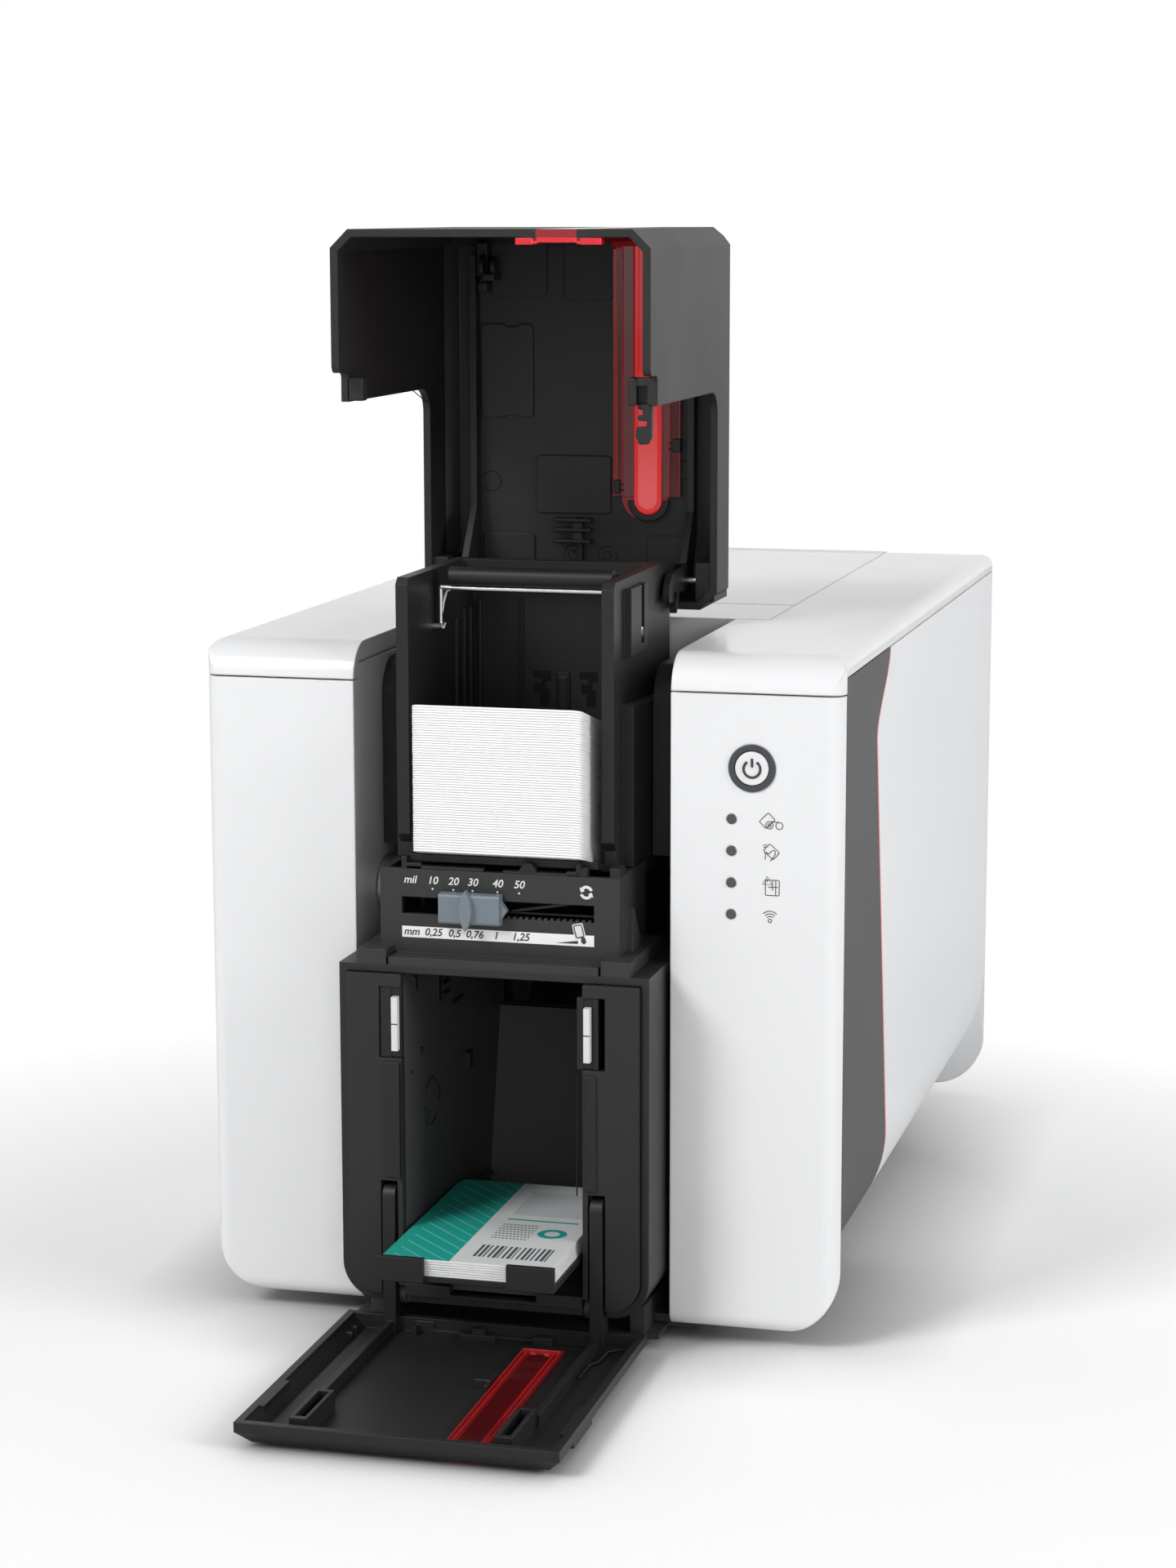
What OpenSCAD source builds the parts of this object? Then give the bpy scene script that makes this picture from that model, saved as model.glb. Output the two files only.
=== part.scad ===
// Desktop plastic-card printer. White case halves stand either side of a dark centre column that
// holds the card feeder with its hinged lid, the card-thickness gauge and the output hopper with
// its fold-down door. x runs to the right, y from the front to the back, z up, in millimetres.
// Inside the modules y = 0 is the face of the white front panels and z = 0 the table.

/* [Case] */
// Width over the two side panels
case_w = 205; // [200:1:230]
// Depth from the white front panels to the back
case_d = 326; // [320:1:380]
// Height of the case top above the table
case_h = 218; // [216:1:220]
// Gap between the table and the white panels
case_lift = 5; // [4:0.5:6]
// Wall of the moulded case parts
wall = 2.4; // [2:0.1:2.8]
// Rounding of the long case edges
edge_r = 5; // [4:0.5:6]
// Rounding where the front runs over into the top
brow_r = 12; // [9:0.5:14]
// Lower corner radius of the front and back panels
corner_r = 20; // [14:1:26]
// Radius that tucks the side panels in under the case
tuck_r = 45; // [36:1:50]
// Height of the edge that the top shells show above the front panels
brow_h = 11; // [10:0.2:13]
// Height of the band that the top shells show along the sides
band_h = 6; // [5.5:0.5:8]
// Visible gap between neighbouring case parts
seam = 0.5; // [0.3:0.1:0.8]
// Depth of the fixed strip in front of the top cover
bridge_d = 42; // [30:1:60]
// How far the top cover is wider than the column, each side
cover_margin = 11; // [8:0.5:14]

/* [Centre column] */
// Middle of the column, left of the middle of the case
column_x = -2; // [-5:0.5:2]
// Gap between the two front panels
column_w = 102; // [101.5:0.5:105]
// Play between the column parts and the front panels, each side
column_play = 1.5; // [1:0.1:1.7]
// How far back the cut for the column reaches in the case top
column_d = 94; // [92:1:97]

/* [Cards] */
// Card width
card_w = 54; // [53:0.5:55]
// Card length
card_l = 85.6; // [84:0.1:87]
// Card thickness
card_t = 0.76; // [0.5:0.01:0.8]
// Card corner radius
card_r = 3.2; // [2.5:0.1:4]
// Blank cards waiting in the feeder
blank_count = 58; // [20:1:62]
// Finished cards in the tray
done_count = 7; // [3:1:10]

/* [Feeder] */
// Slope of the waiting cards, down towards the back
card_tilt = 15; // [13:0.5:16]
// Reach of the waiting cards in front of the white panels
stack_reach = 18; // [17:0.5:20]
// Height of the lowest waiting card at its front edge
stack_z = 157; // [156:0.5:159]
// Play between the cards and each feeder wall
feeder_play = 3.8; // [3:0.1:4.2]
// Thickness of the feeder walls
feeder_wall = 3.9; // [3:0.1:4.1]
// Height of the feeder walls above the table
feeder_h = 240; // [236:0.5:240.5]
// Reach of the feeder walls in front of the white panels
feeder_reach = 6.6; // [5:0.2:9]

/* [Thickness gauge] */
// Width of the gauge box
gauge_w = 76.6; // [75:0.2:77]
// Reach of the gauge box in front of the white panels
gauge_reach = 14; // [13:0.5:16]
// Height of the gauge box
gauge_h = 26.5; // [25:0.5:27]
// Length of the gauge slot
slot_l = 61.6; // [58:0.2:64]
// Height of the gauge slot
slot_h = 5.4; // [5:0.1:6]
// Width of the slider knob
knob_w = 19.5; // [16:0.5:21]

/* [Hopper] */
// Reach of the hopper rim in front of the white panels
hopper_reach = 21.5; // [20.5:0.5:22.5]
// Underside of the hopper above the table
hopper_z = 13.4; // [13:0.1:14]
// Height of the hopper
hopper_h = 108.1; // [106:0.1:109]
// Depth of the hopper
hopper_d = 115; // [112:1:118]
// Lower corner radius of the hopper
hopper_r = 12; // [8:1:14]
// Width of the hopper mouth
mouth_w = 58; // [57.5:0.5:58.5]

/* [Door] */
// Length of the door
door_l = 104; // [100:0.5:104.5]
// Thickness of the door over its rim
door_t = 7; // [6:0.5:7]
// Slant of the door's outer edges
door_bevel = 4; // [3:0.5:4.5]
// Gap between the table and the open door
door_lift = 1.5; // [1:0.5:2]
// Distance of the door pivot in front of the white panels
door_pivot_y = 18.5; // [18:0.5:19]
// Height of the door pivot
door_pivot_z = 15.5; // [15:0.5:16]
// Height to which the door arms stand
arm_top = 51.4; // [46:0.2:53]
// Thickness of the door arms
arm_t = 4; // [3:0.1:4.2]
// Width of the light window in the door
window_w = 10; // [7:0.5:11]
// Middle of the light window in the door
window_x = 16.6; // [14:0.2:18]

/* [Feeder lid] */
// Reach of the closed lid in front of the white panels
lid_reach = 35; // [34:0.5:37]
// Height of the closed lid above the table
lid_h = 247; // [246.5:0.5:249]
// Height of the closed lid's front rim above the table
lid_rim_z = 132; // [130:0.5:136]
// Bevel along the long edges of the lid
bevel = 5.6; // [4:0.2:7]
// Middle of the light window in the lid
lid_window_x = 18.8; // [17:0.2:20]
// Width of the light window in the lid
lid_window_w = 12.5; // [9:0.5:13]
// Place of the lid hinge behind the white panels
lid_hinge_y = 79; // [78:0.5:80]
// Height of the lid hinge
lid_hinge_z = 232; // [231.5:0.5:232.5]
// Diameter of the lid hinge pins
lid_pin_d = 3; // [2.4:0.1:3.6]

/* [Button and lights] */
// Distance from the right side of the case to the middle of the power button
button_inset = 28.1; // [26:0.1:30]
// Distance from the case top down to the middle of the power button
button_drop = 34; // [30:0.5:38]
// Diameter of the opening in the button ring
ring_d = 11; // [9:0.2:12]
// Width of the ring round the button
ring_w = 1.75; // [1:0.05:2]
// Travel of the button
button_travel = 0.8; // [0.5:0.1:1]
// Distance from the button's middle left to the column of lights
led_shift = 6.3; // [5:0.1:8]
// Distance from the button's middle down to the top light
led_drop = 15.9; // [14:0.1:18]
// Distance from light to light
led_pitch = 9.9; // [8:0.1:10]
// Diameter of a light
led_d = 3; // [2.4:0.1:4]
// Number of lights
led_count = 4; // [3:1:4]

/* [Engine] */
// Distance between the engine plates
plate_gap = 72; // [70:1:74]
// Thickness of the engine plates
plate_t = 2; // [1.5:0.1:2.4]
// Radius of the transport rollers
roller_r = 7.5; // [6:0.5:8]
// Diameter of the roller shafts
shaft_d = 4; // [3:0.5:5]
// Radius of the belt pulleys
pulley_r = 6; // [5.5:0.5:6.5]
// Height of the roller axes
roller_z = 122; // [119:0.5:124]
// Place of the first engine roller
roller_y = 112; // [110:0.5:116]
// Distance from the back of the case to the motor's axis
motor_back = 54; // [50:1:58]
// Radius of the full ribbon roll
supply_r = 17; // [13:0.5:18]
// Radius of the wound-up ribbon
takeup_r = 9; // [7:0.5:12]

/* [Hidden] */
$fn = 64;

near = 0.3;               // gap between parts that move past each other
run = 0.05;               // radial clearance of a running fit
touch = 0.02;             // overlap that joins two shapes of one part
past = 1;                 // how far a cutting shape runs past the face it cuts

// Case
half_w = case_w/2;
button_x = half_w - button_inset;
button_z = case_h - button_drop;
led_x = button_x - led_shift;
led_z = button_z - led_drop;
front_top = case_h - brow_h - seam;
band_z = case_h - band_h;
gap_l = column_x - column_w/2;
gap_r = column_x + column_w/2;
cover_l = gap_l - cover_margin;
cover_r = gap_r + cover_margin;
return_d = edge_r;        // depth of the rim round a front or rear panel
side_y0 = return_d + seam;
side_y1 = case_d - return_d - seam;
tuck_end = side_y1 - wall; // the web to the rear panel's corner starts here
foot_h = 3;
foot_d = 15;
foot_x = 48;
foot_inset = 24;
base_t = 4;
base_top = foot_h + base_t;

// Column parts, lid and door share one width
trim_l = gap_l + column_play;
trim_r = gap_r - column_play;

// Door, lying open with its outer face down
door_back = door_pivot_y + 1;
door_front = door_back + door_l;
door_skin = door_lift + wall;
door_top = door_lift + door_t;
head_h = 1.6;              // the rear screws stand out by this much
depth_all = case_d + head_h + door_front;

// Hopper
hopper_top = hopper_z + hopper_h;
hopper_back = hopper_d - hopper_reach;
face_proud = 2;           // how far the face plate stands out of the rim
face_t = 3.5;
face_y = hopper_reach + face_proud;
mouth_l = column_x - mouth_w/2;
mouth_r = column_x + mouth_w/2;
mouth_top = hopper_top - wall;
bin_wall = 2;
bin_z = hopper_z + 6.6;   // top of the bin's floor
bin_low_y = 72;           // the leaning back of the bin starts here
bin_high_y = 89;
bin_high_z = 89;
arm_gap = 0.4;
arm_l = mouth_l - bin_wall - arm_gap - arm_t;
arm_r = mouth_r + bin_wall + arm_gap;
arm_front = 6;            // the arms reach this far before and behind the pivot
arm_behind = 1.4;
channel_gap = 0.7;
magnet_w = 2;
magnet_z = 95;
magnet_h = 17;
magnet_proud = 1.5;
door_pin_r = 1.2;

// Tray
tray_t = 1.8;
tray_play = 1;
tray_front = 54;
tray_top = 32.5;
lip_t = 1.8;
lip_w = 14.9;
done_h = done_count*card_t;

// Gauge
ledge_t = 2.5;
gauge_z = hopper_top + ledge_t;
gauge_d = 34;
gauge_l = column_x - gauge_w/2;
gauge_r = column_x + gauge_w/2;
gauge_front_t = 2.2;
slot_x = column_x - slot_l/2 - 0.5;
slot_z = gauge_z + 12.3;
label_z = gauge_z + 4.9;
label_h = 3.5;
knob_h = 9.5;
knob_x = -20.2;
knob_d = 4.4;
pointer_x = knob_x + knob_w - 10.5;
pointer_w = 4;
pointer_h = 12.7;
pointer_out = 1.8;

// Feeder
wall_in_l = column_x - card_w/2 - feeder_play;
wall_in_r = column_x + card_w/2 + feeder_play;
wall_out_l = wall_in_l - feeder_wall;
wall_out_r = wall_in_r + feeder_wall;
slope = tan(card_tilt);
stack_y1 = card_l*cos(card_tilt) - stack_reach;
feeder_back = stack_y1 + 0.6;
stack_h = blank_count*card_t/cos(card_tilt);
floor_t = 2.4;
arm_plane = 1.2;          // gap between the feeder walls and the lid arms
lid_arm_t = 2.3;
guard_in = 38.6;          // the guards start this far either side of the column's middle
guard_y = 28;
guard_z = stack_z - 7;
guard_h = 60;
guard_r = 12;
press_y = 21;
press_z = 222;
press_pin_r = 1.2;
press_r = 3;
press_bar_z = 238;
wire_r = 0.8;
feed_r = 8;
feed_y = 31;

// Lid, described closed
lid_back = lid_hinge_y + 8.6;
lid_step_y = 17;
skirt_z = lid_hinge_z - 8;
skirt_r = 8;
ear_r = 5.2;

// Engine
plate_l = column_x - plate_gap/2 - plate_t;
plate_r = column_x + plate_gap/2;
plate_y0 = column_d + 6;
plate_y1 = case_d - 26;
plate_top = case_h - 23;
belt_t = 1.2;
belt_w = 3.4;
belt_x = plate_l - 1.5 - belt_w;
motor_y = case_d - motor_back;
roller_pitch = (motor_y - roller_y)/4;
motor_w = 42;
motor_l = 32;
spool_z = 172;
supply_y = roller_y + 1.2*roller_pitch;
takeup_y = roller_y + 3.1*roller_pitch;
head_y = roller_y + 2*roller_pitch;
film_z = roller_z + roller_r + card_t + near;
film_t = 0.4;

// Case details
wave_foot = [87.5, 41];
wave_bend = [59.5, 185];
wave_head_y = 83;
wave_steps = 12;
strip_w = 1.6;
strip_gap = 0.15;
bridge_seat = 4;
rear_slot_w = 46;
slot_t = 2.2;
vent_count = 9;
vent_pitch = 5;
vent_top = 172;
cover_pin_r = 1.2;
knuckle_r = 3.8;
cover_pin_y = case_d - 10;
cover_pin_z = case_h - knuckle_r;
cover_end = cover_pin_y + knuckle_r;
cover_ear_w = 6;
cover_flange = 9;
plinth_front = 8;
post_w = 8;

// Column details
arm_clear = 1.5;
lug_r = 3.4;
recess_w = 28;
recess_h = 2.8;
rest_t = 1.6;
rail_top = door_top - 1;
catch_y0 = magnet_z - door_pivot_z + door_pivot_y - 4.5;
catch_y1 = catch_y0 + magnet_h + 8;
catch_top = door_pivot_z - (face_y - door_pivot_y) - 1;
bump_r = 11;
bump_at = 15;
catch_x = [mouth_l - bin_wall - 0.7, mouth_r + bin_wall + 0.7 - magnet_w];
window_back = 33;
door_flange = 1.5;
rack_teeth = 14;
wing_in = 34.3;
wing_out = 43.5;
wing_gap = 0.8;
wing_h = 2.2;
fin_y = -6;
fin_t = 2;
fin_h = 15.3;
fin_steps = 8;
label_t = 0.4;
arrow_w = 2.2;
gate_t = 1.6;
gate_w = 50;
gate_h = 22;
feeder_t = 2;
gate_y = feeder_back + feeder_t + near;
bar_y = 53;
bar_t = 4;
floor_y = -11;
boss_t = 2.4;
top_round = 2;
cheek_t = guard_in - (wall_out_r - column_x) - near;
cheek_y = 4;
gauge_top = gauge_z + gauge_h;
gauge_back = gauge_d - gauge_reach + near;
cheek_mid = gauge_top + 2.5;
cheek_top = stack_z + 44.5;
feed_w = 30;
tab_w = 9;
tab_y = 9;
notch_r = 2.5;
end_flat = 0.2;
lid_window_y = 52.75;
window_t = 1.6;
flange_w = 3;
flange_gap = 1.5;
hub_out = wall_out_r - column_x + arm_plane + lid_arm_t + 3.8;
hub_r = 6.4;
arm_rib = 5.2;
arm_hub_r = 5.5;
hook_h = 20;
hook_r = 7;
board_y = 9;
board_t = 1.6;
board_rim = 4;
board_x = [led_x - 2, button_x + 13];
board_z = [led_z - 40.1, button_z + 10];
post_r = 2.5;
cap_depth = 5;

// Engine details
plate_window_r = 14;
plate_window_z = [45, 84];
spacer_r = 3;
motor_hole = 2;
feed_motor_r = 10.5;
head_w = 56;
head_t = 6;
head_tip_h = 4;
head_body_h = 18;
beam_w = 12;
beam_t = 8;
ribbon_w = 55;
spool_end = 1.2;
rim_t = 2;
rim_r = 9;
film_fall = 20;
film_flat = 5;
main_z0 = 22;
main_z1 = plate_top - 55;
post_y = [plate_y0 + 20, plate_y1 - 20];
post_z = [main_z0 + 8, main_z1 - 10];
main_x = plate_r + plate_t + 10;
main_board_t = 1.6;
chip_w = 24;
chip_pitch = 42;
chip_t = 3;
can_pitch = 34;
can_h = 12;
can_r = 5;
screw_in = half_w - tuck_r - seam - post_w/2 - 1;
screw_x = [-screw_in, screw_in];
socket_x = screw_in + 20;
socket_w = 27;
socket_h = 20;
socket_z = 36;
socket_d = 24;
ports = [[screw_in - 42, 13, 12], [screw_in - 22, 16.5, 14]];
port_z = 40;
port_d = 18;
port_t = 1.5;
port_rim = 1;
screw_z = [24, 96];
screw_r = 1.5;
screw_l = 8;
head_r = 3;

// Height of the underside of the lowest waiting card at depth y
function stack_under(y) = stack_z - slope*(y + stack_reach);
feed_z = stack_under(feed_y) - near - feed_r/cos(card_tilt);

module placed() { translate([0, door_front - depth_all/2, 0]) children(); }
module area(p, q) { translate(p) square(q - p); }
module box(p, q) { translate(p) cube(q - p); }
// Outline in y and z, drawn out along x
module along_x(x0, x1) { translate([x0, 0, 0]) rotate([90, 0, 90]) linear_extrude(x1 - x0) children(); }
// Outline in x and z, drawn out along y
module along_y(y0, y1) { translate([0, y1, 0]) rotate([90, 0, 0]) linear_extrude(y1 - y0) children(); }
// Outline in x and y, drawn out along z
module along_z(z0, z1) { translate([0, 0, z0]) linear_extrude(z1 - z0) children(); }
module rod_x(x0, x1, r) { translate([x0, 0, 0]) rotate([0, 90, 0]) cylinder(h = x1 - x0, r = r); }
module rod_y(y0, y1, r) { translate([0, y0, 0]) rotate([-90, 0, 0]) cylinder(h = y1 - y0, r = r); }
module mirrored() { mirror([1, 0, 0]) children(); }

// Rectangle with rounded corners, r = [lower left, lower right, upper right, upper left]
module soft_area(p, q, r) {
  difference() {
    area(p, q);
    corner_bite([p.x, p.y], 0, r[0]);
    corner_bite([q.x, p.y], 90, r[1]);
    corner_bite([q.x, q.y], 180, r[2]);
    corner_bite([p.x, q.y], 270, r[3]);
  }
}
module corner_bite(at, turn, r) {
  if (r > 0)
    translate(at) rotate(turn) difference() {
      translate([-past, -past]) square(r + past);
      translate([r, r]) circle(r);
    }
}
// Corners of a rectangle whose corners are cut off by c, in the same order
function cut_area(p, q, c) = [
  [p.x + c[0], p.y], [q.x - c[1], p.y], [q.x, p.y + c[1]], [q.x, q.y - c[2]],
  [q.x - c[2], q.y], [p.x + c[3], q.y], [p.x, q.y - c[3]], [p.x, p.y + c[0]]
];
// Size of a bevel on the inside of a wall of thickness t
function inside_bevel(c, t) = c - t*(2 - sqrt(2));

// ---- Case: every right-hand part is drawn, the left-hand one is its mirror image ----

// Front panel from x0 outwards: face, rim and the wall that lines the column
module front_panel(x0) {
  difference() {
    intersection() {
      along_y(0, return_d) soft_area([x0, case_lift], [half_w, front_top], [0, corner_r, 0, 0]);
      along_z(case_lift, front_top) soft_area([x0, 0], [half_w, return_d + past], [0, edge_r, 0, 0]);
      along_x(x0, half_w) soft_area([0, case_lift], [return_d + past, front_top], [edge_r, 0, 0, 0]);
    }
    along_y(wall, return_d + past)
      soft_area([x0 + wall, case_lift + wall], [half_w - wall, front_top + past], [0, corner_r - wall, 0, 0]);
  }
  box([x0, wall - touch, base_top], [x0 + wall, side_y0 + touch, front_top]);
  box([x0, side_y0, base_top], [x0 + wall, column_d - 1, band_z - seam]);
}
module left_front_panel() {
  color("white") placed() mirrored() front_panel(-gap_l);
}
module right_front_panel() {
  color("white") placed() difference() {
    union() {
      front_panel(gap_r);
      for (x = board_x, z = board_z) translate([x, 0, z]) rod_y(wall - touch, board_y, post_r);
    }
    translate([button_x, 0, button_z]) rod_y(-past, wall + past, ring_d/2 + ring_w + run);
    for (i = [0:led_count - 1])
      translate([led_x, 0, led_z - i*led_pitch]) rod_y(-past, wall + past, led_d/2 + run);
  }
}

// Space filled by a top shell whose outside is inset by t
module shell_space(x0, t) {
  low = case_h - brow_h;
  intersection() {
    along_y(t, case_d - t)
      soft_area([x0, low - t], [half_w - t, case_h - t], [0, 0, edge_r - t, 0]);
    along_x(x0, half_w)
      soft_area([t, low - t], [case_d - t, case_h - t], [0, 0, edge_r - t, brow_r - t]);
    along_z(low - t, case_h)
      soft_area([x0, t], [half_w - t, case_d - t], [0, edge_r - t, edge_r - t, 0]);
  }
}
// Top shell from x0 outwards, cut back to x1 behind the column
module top_shell(x0, x1) {
  edge = x1 + seam;
  difference() {
    union() {
      difference() {
        shell_space(x0, 0);
        shell_space(x0 + wall, wall);
        box([x0 - past, side_y0, 0], [half_w + past, case_d + past, band_z]);
        box([x0 - past, column_d - seam, 0], [edge, case_d + past, case_h + past]);
      }
      // Ear for the hinge pin of the cover
      box([edge, cover_pin_y - 4, cover_pin_z - 3.5],
          [edge + cover_ear_w, cover_pin_y + 4, case_h - wall + touch]);
    }
    translate([0, cover_pin_y, cover_pin_z]) rod_x(edge - past, edge + cover_ear_w - 1, cover_pin_r + run);
  }
}
module left_top_shell() { color("white") placed() mirrored() top_shell(-gap_l, -cover_l); }
module right_top_shell() { color("white") placed() top_shell(gap_r, cover_r); }

// Section of the side, rolled in under the case by r_out outside and r_in inside
module side_section(r_out, r_in) {
  difference() {
    soft_area([half_w - r_in, case_lift], [half_w, band_z - seam], [0, r_out, 0, 0]);
    soft_area([half_w - r_in - past, case_lift + wall], [half_w - wall, band_z], [0, r_in - wall, 0, 0]);
  }
}
module side_wall() {
  along_y(side_y0, tuck_end) side_section(tuck_r, tuck_r);
  // Web that closes the step to the smaller radius of the rear panel
  along_y(tuck_end, side_y1) side_section(corner_r, tuck_r);
}
// Everything in front of the wavy edge between the dark and the light part of the side
function smooth(t) = t*t*(3 - 2*t);
function wave_y(t) = wave_bend.x + (wave_head_y - wave_bend.x)*smooth(t);
module before_wave(shift) {
  lean = (wave_foot.x - wave_bend.x)/(wave_bend.y - wave_foot.y);
  low_y = wave_bend.x + lean*wave_bend.y;
  along_x(0, half_w + past) polygon(concat(
    [[0, 0], [low_y + shift, 0]],
    [for (i = [0:wave_steps]) let (t = i/wave_steps)
      [wave_y(t) + shift, wave_bend.y + (band_z - wave_bend.y)*t]],
    [[0, band_z]]));
}
module side_panel() { difference() { side_wall(); before_wave(strip_w); } }
module accent_panel() { intersection() { side_wall(); before_wave(0); } }
module accent_strip() {
  intersection() {
    side_wall();
    difference() { before_wave(strip_w - strip_gap); before_wave(strip_gap); }
  }
}
module left_side_panel() { color("whitesmoke") placed() mirrored() side_panel(); }
module right_side_panel() { color("whitesmoke") placed() side_panel(); }
module left_accent_panel() { color("dimgray") placed() mirrored() accent_panel(); }
module right_accent_panel() { color("dimgray") placed() accent_panel(); }
module accent_strips() {
  color("red") placed() {
    accent_strip();
    mirrored() accent_strip();
  }
}

// Fixed strip across the top, in front of the cover, seated under the shells on both sides
module top_bridge() {
  color("white") placed() {
    box([cover_l, column_d, case_h - wall], [cover_r, column_d + bridge_d, case_h]);
    box([cover_l, column_d, case_h - 14], [cover_r, column_d + wall, case_h - wall + touch]);
    box([cover_l - bridge_seat, column_d + wall, case_h - 2*wall],
        [cover_r + bridge_seat, column_d + bridge_d - 2, case_h - wall]);
  }
}
module rear_panel() {
  color("whitesmoke") placed() difference() {
    union() {
      difference() {
        intersection() {
          along_y(side_y1 + seam, case_d)
            soft_area([-half_w, case_lift], [half_w, band_z - seam], [corner_r, corner_r, 0, 0]);
          along_z(case_lift, band_z)
            soft_area([-half_w, side_y1], [half_w, case_d], [0, 0, edge_r, edge_r]);
          along_x(-half_w, half_w)
            soft_area([side_y1, case_lift], [case_d, band_z], [0, edge_r, 0, 0]);
        }
        along_y(side_y1, case_d - wall)
          soft_area([-half_w + wall, case_lift + wall], [half_w - wall, band_z + past],
                    [corner_r - wall, corner_r - wall, 0, 0]);
      }
      // Strip that closes the top behind the cover
      box([cover_l, cover_end + seam, band_z - seam - touch], [cover_r, case_d, case_h]);
    }
    for (i = [0:vent_count - 1])
      box([-rear_slot_w, case_d - wall - past, vent_top - i*vent_pitch],
          [rear_slot_w, case_d + past, vent_top - i*vent_pitch + slot_t]);
    box([socket_x - socket_w/2, case_d - wall - past, socket_z],
        [socket_x + socket_w/2, case_d + past, socket_z + socket_h]);
    for (p = ports)
      box([p[0] - p[1]/2, case_d - wall - past, port_z], [p[0] + p[1]/2, case_d + past, port_z + p[2]]);
    for (x = screw_x, z = screw_z)
      translate([x, 0, z]) rod_y(case_d - wall - past, case_d + past, screw_r + run);
  }
}

// Top cover over the ribbon, hinged at its rear edge
module top_cover() {
  y0 = column_d + bridge_d + 2*seam;
  color("white") placed() difference() {
    union() {
      box([cover_l, y0, case_h - wall], [cover_r, cover_pin_y, case_h]);
      difference() {
        box([cover_l + 1, y0 + 1, case_h - wall - cover_flange],
            [cover_r - 1, cover_pin_y - 12, case_h - wall + touch]);
        box([cover_l + 1 + wall, y0 + 1 + wall, 0], [cover_r - 1 - wall, case_d, case_h - wall - touch]);
      }
      translate([0, cover_pin_y, cover_pin_z]) rod_x(cover_l, cover_r, knuckle_r);
    }
    translate([0, cover_pin_y, cover_pin_z]) {
      rod_x(cover_l - past, cover_l + cover_ear_w, cover_pin_r + run);
      rod_x(cover_r - cover_ear_w, cover_r + past, cover_pin_r + run);
    }
  }
}
module cover_hinge_pins() {
  color("silver") placed() translate([0, cover_pin_y, cover_pin_z]) {
    rod_x(cover_l - seam - cover_ear_w + 1.2, cover_l + cover_ear_w - 0.2, cover_pin_r);
    rod_x(cover_r - cover_ear_w + 0.2, cover_r + seam + cover_ear_w - 1.2, cover_pin_r);
  }
}

// Base, with the plinth under the hopper, the rails of the engine and two rear posts
module base_tray() {
  base_half = half_w - tuck_r - seam;
  color("dimgray") placed() {
    box([-base_half, side_y0, foot_h], [base_half, side_y1, base_top]);
    box([trim_l, -plinth_front, foot_h], [trim_r, side_y0 + touch, case_lift - seam]);
    for (x = [gap_l + 6, gap_r - 6 - 2*wall])
      box([x, -plinth_front, foot_h], [x + 2*wall, plate_y0 - 8, hopper_z]);
    for (x = [plate_l - 6, plate_r + plate_t])
      box([x, plate_y0, base_top - touch], [x + 6, plate_y1, base_top + 12]);
    difference() {
      for (x = screw_x)
        box([x - post_w/2, case_d - wall - post_w, base_top - touch],
            [x + post_w/2, case_d - wall, screw_z[1] + post_w/2]);
      for (x = screw_x, z = screw_z) translate([x, 0, z]) rod_y(case_d - wall - screw_l, case_d, screw_r);
      // Room for the rear panel's lower rim
      box([-half_w, side_y1, 0], [half_w, case_d, case_lift + wall + near]);
    }
  }
}
module feet() {
  color("black") placed()
    for (x = [-foot_x, foot_x], y = [foot_inset, case_d - foot_inset])
      translate([x, y, 0]) cylinder(h = foot_h, d = foot_d);
}

// ---- Hopper ----
module hopper_outline(t) {
  soft_area([trim_l + t, hopper_z + t], [trim_r - t, hopper_top - t], [hopper_r - t, hopper_r - t, 0, 0]);
}
// Strips of the front in which the door arms swing
module arm_slots(z1) {
  for (x = [arm_l, arm_r]) area([x - channel_gap, 0], [x + arm_t + channel_gap, z1]);
}
// The same strips with the room for the pivot lugs beside them
module lug_slots(z1) {
  arm_slots(z1);
  area([arm_l, 0], [mouth_l + near, z1]);
  area([mouth_r - near, 0], [arm_r, z1]);
}
module hopper_shell() {
  color("black") placed() difference() {
    along_y(-hopper_reach, hopper_back) hopper_outline(0);
    along_y(-hopper_reach - past, hopper_back - wall) hopper_outline(wall);
    // Way in for the finished cards, from the engine
    box([mouth_l, hopper_back - wall - past, bin_high_z - 5],
        [mouth_r, hopper_back + past, hopper_top - wall]);
    // Floor slots under the arms
    along_y(-hopper_reach - past, arm_top - door_pivot_z - door_pivot_y + arm_clear)
      lug_slots(door_pivot_z + lug_r + near);
  }
}
// Plate round the mouth, standing a little proud of the rim
module hopper_face() {
  color("black") placed() along_y(-face_y, face_t - face_y) difference() {
    hopper_outline(wall + seam/2);
    area([mouth_l, bin_z], [mouth_r, mouth_top]);
    arm_slots(arm_top + arm_clear);
    for (x = [arm_l - channel_gap, mouth_r - touch])
      area([x, magnet_z - 2.7], [x + mouth_l - arm_l + channel_gap + touch, magnet_z + magnet_h + 3]);
    lug_slots(door_pivot_z + lug_r + near);
    // Finger recess in the sill
    area([column_x - recess_w/2, bin_z - recess_h], [column_x + recess_w/2, bin_z + past]);
  }
}
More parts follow.
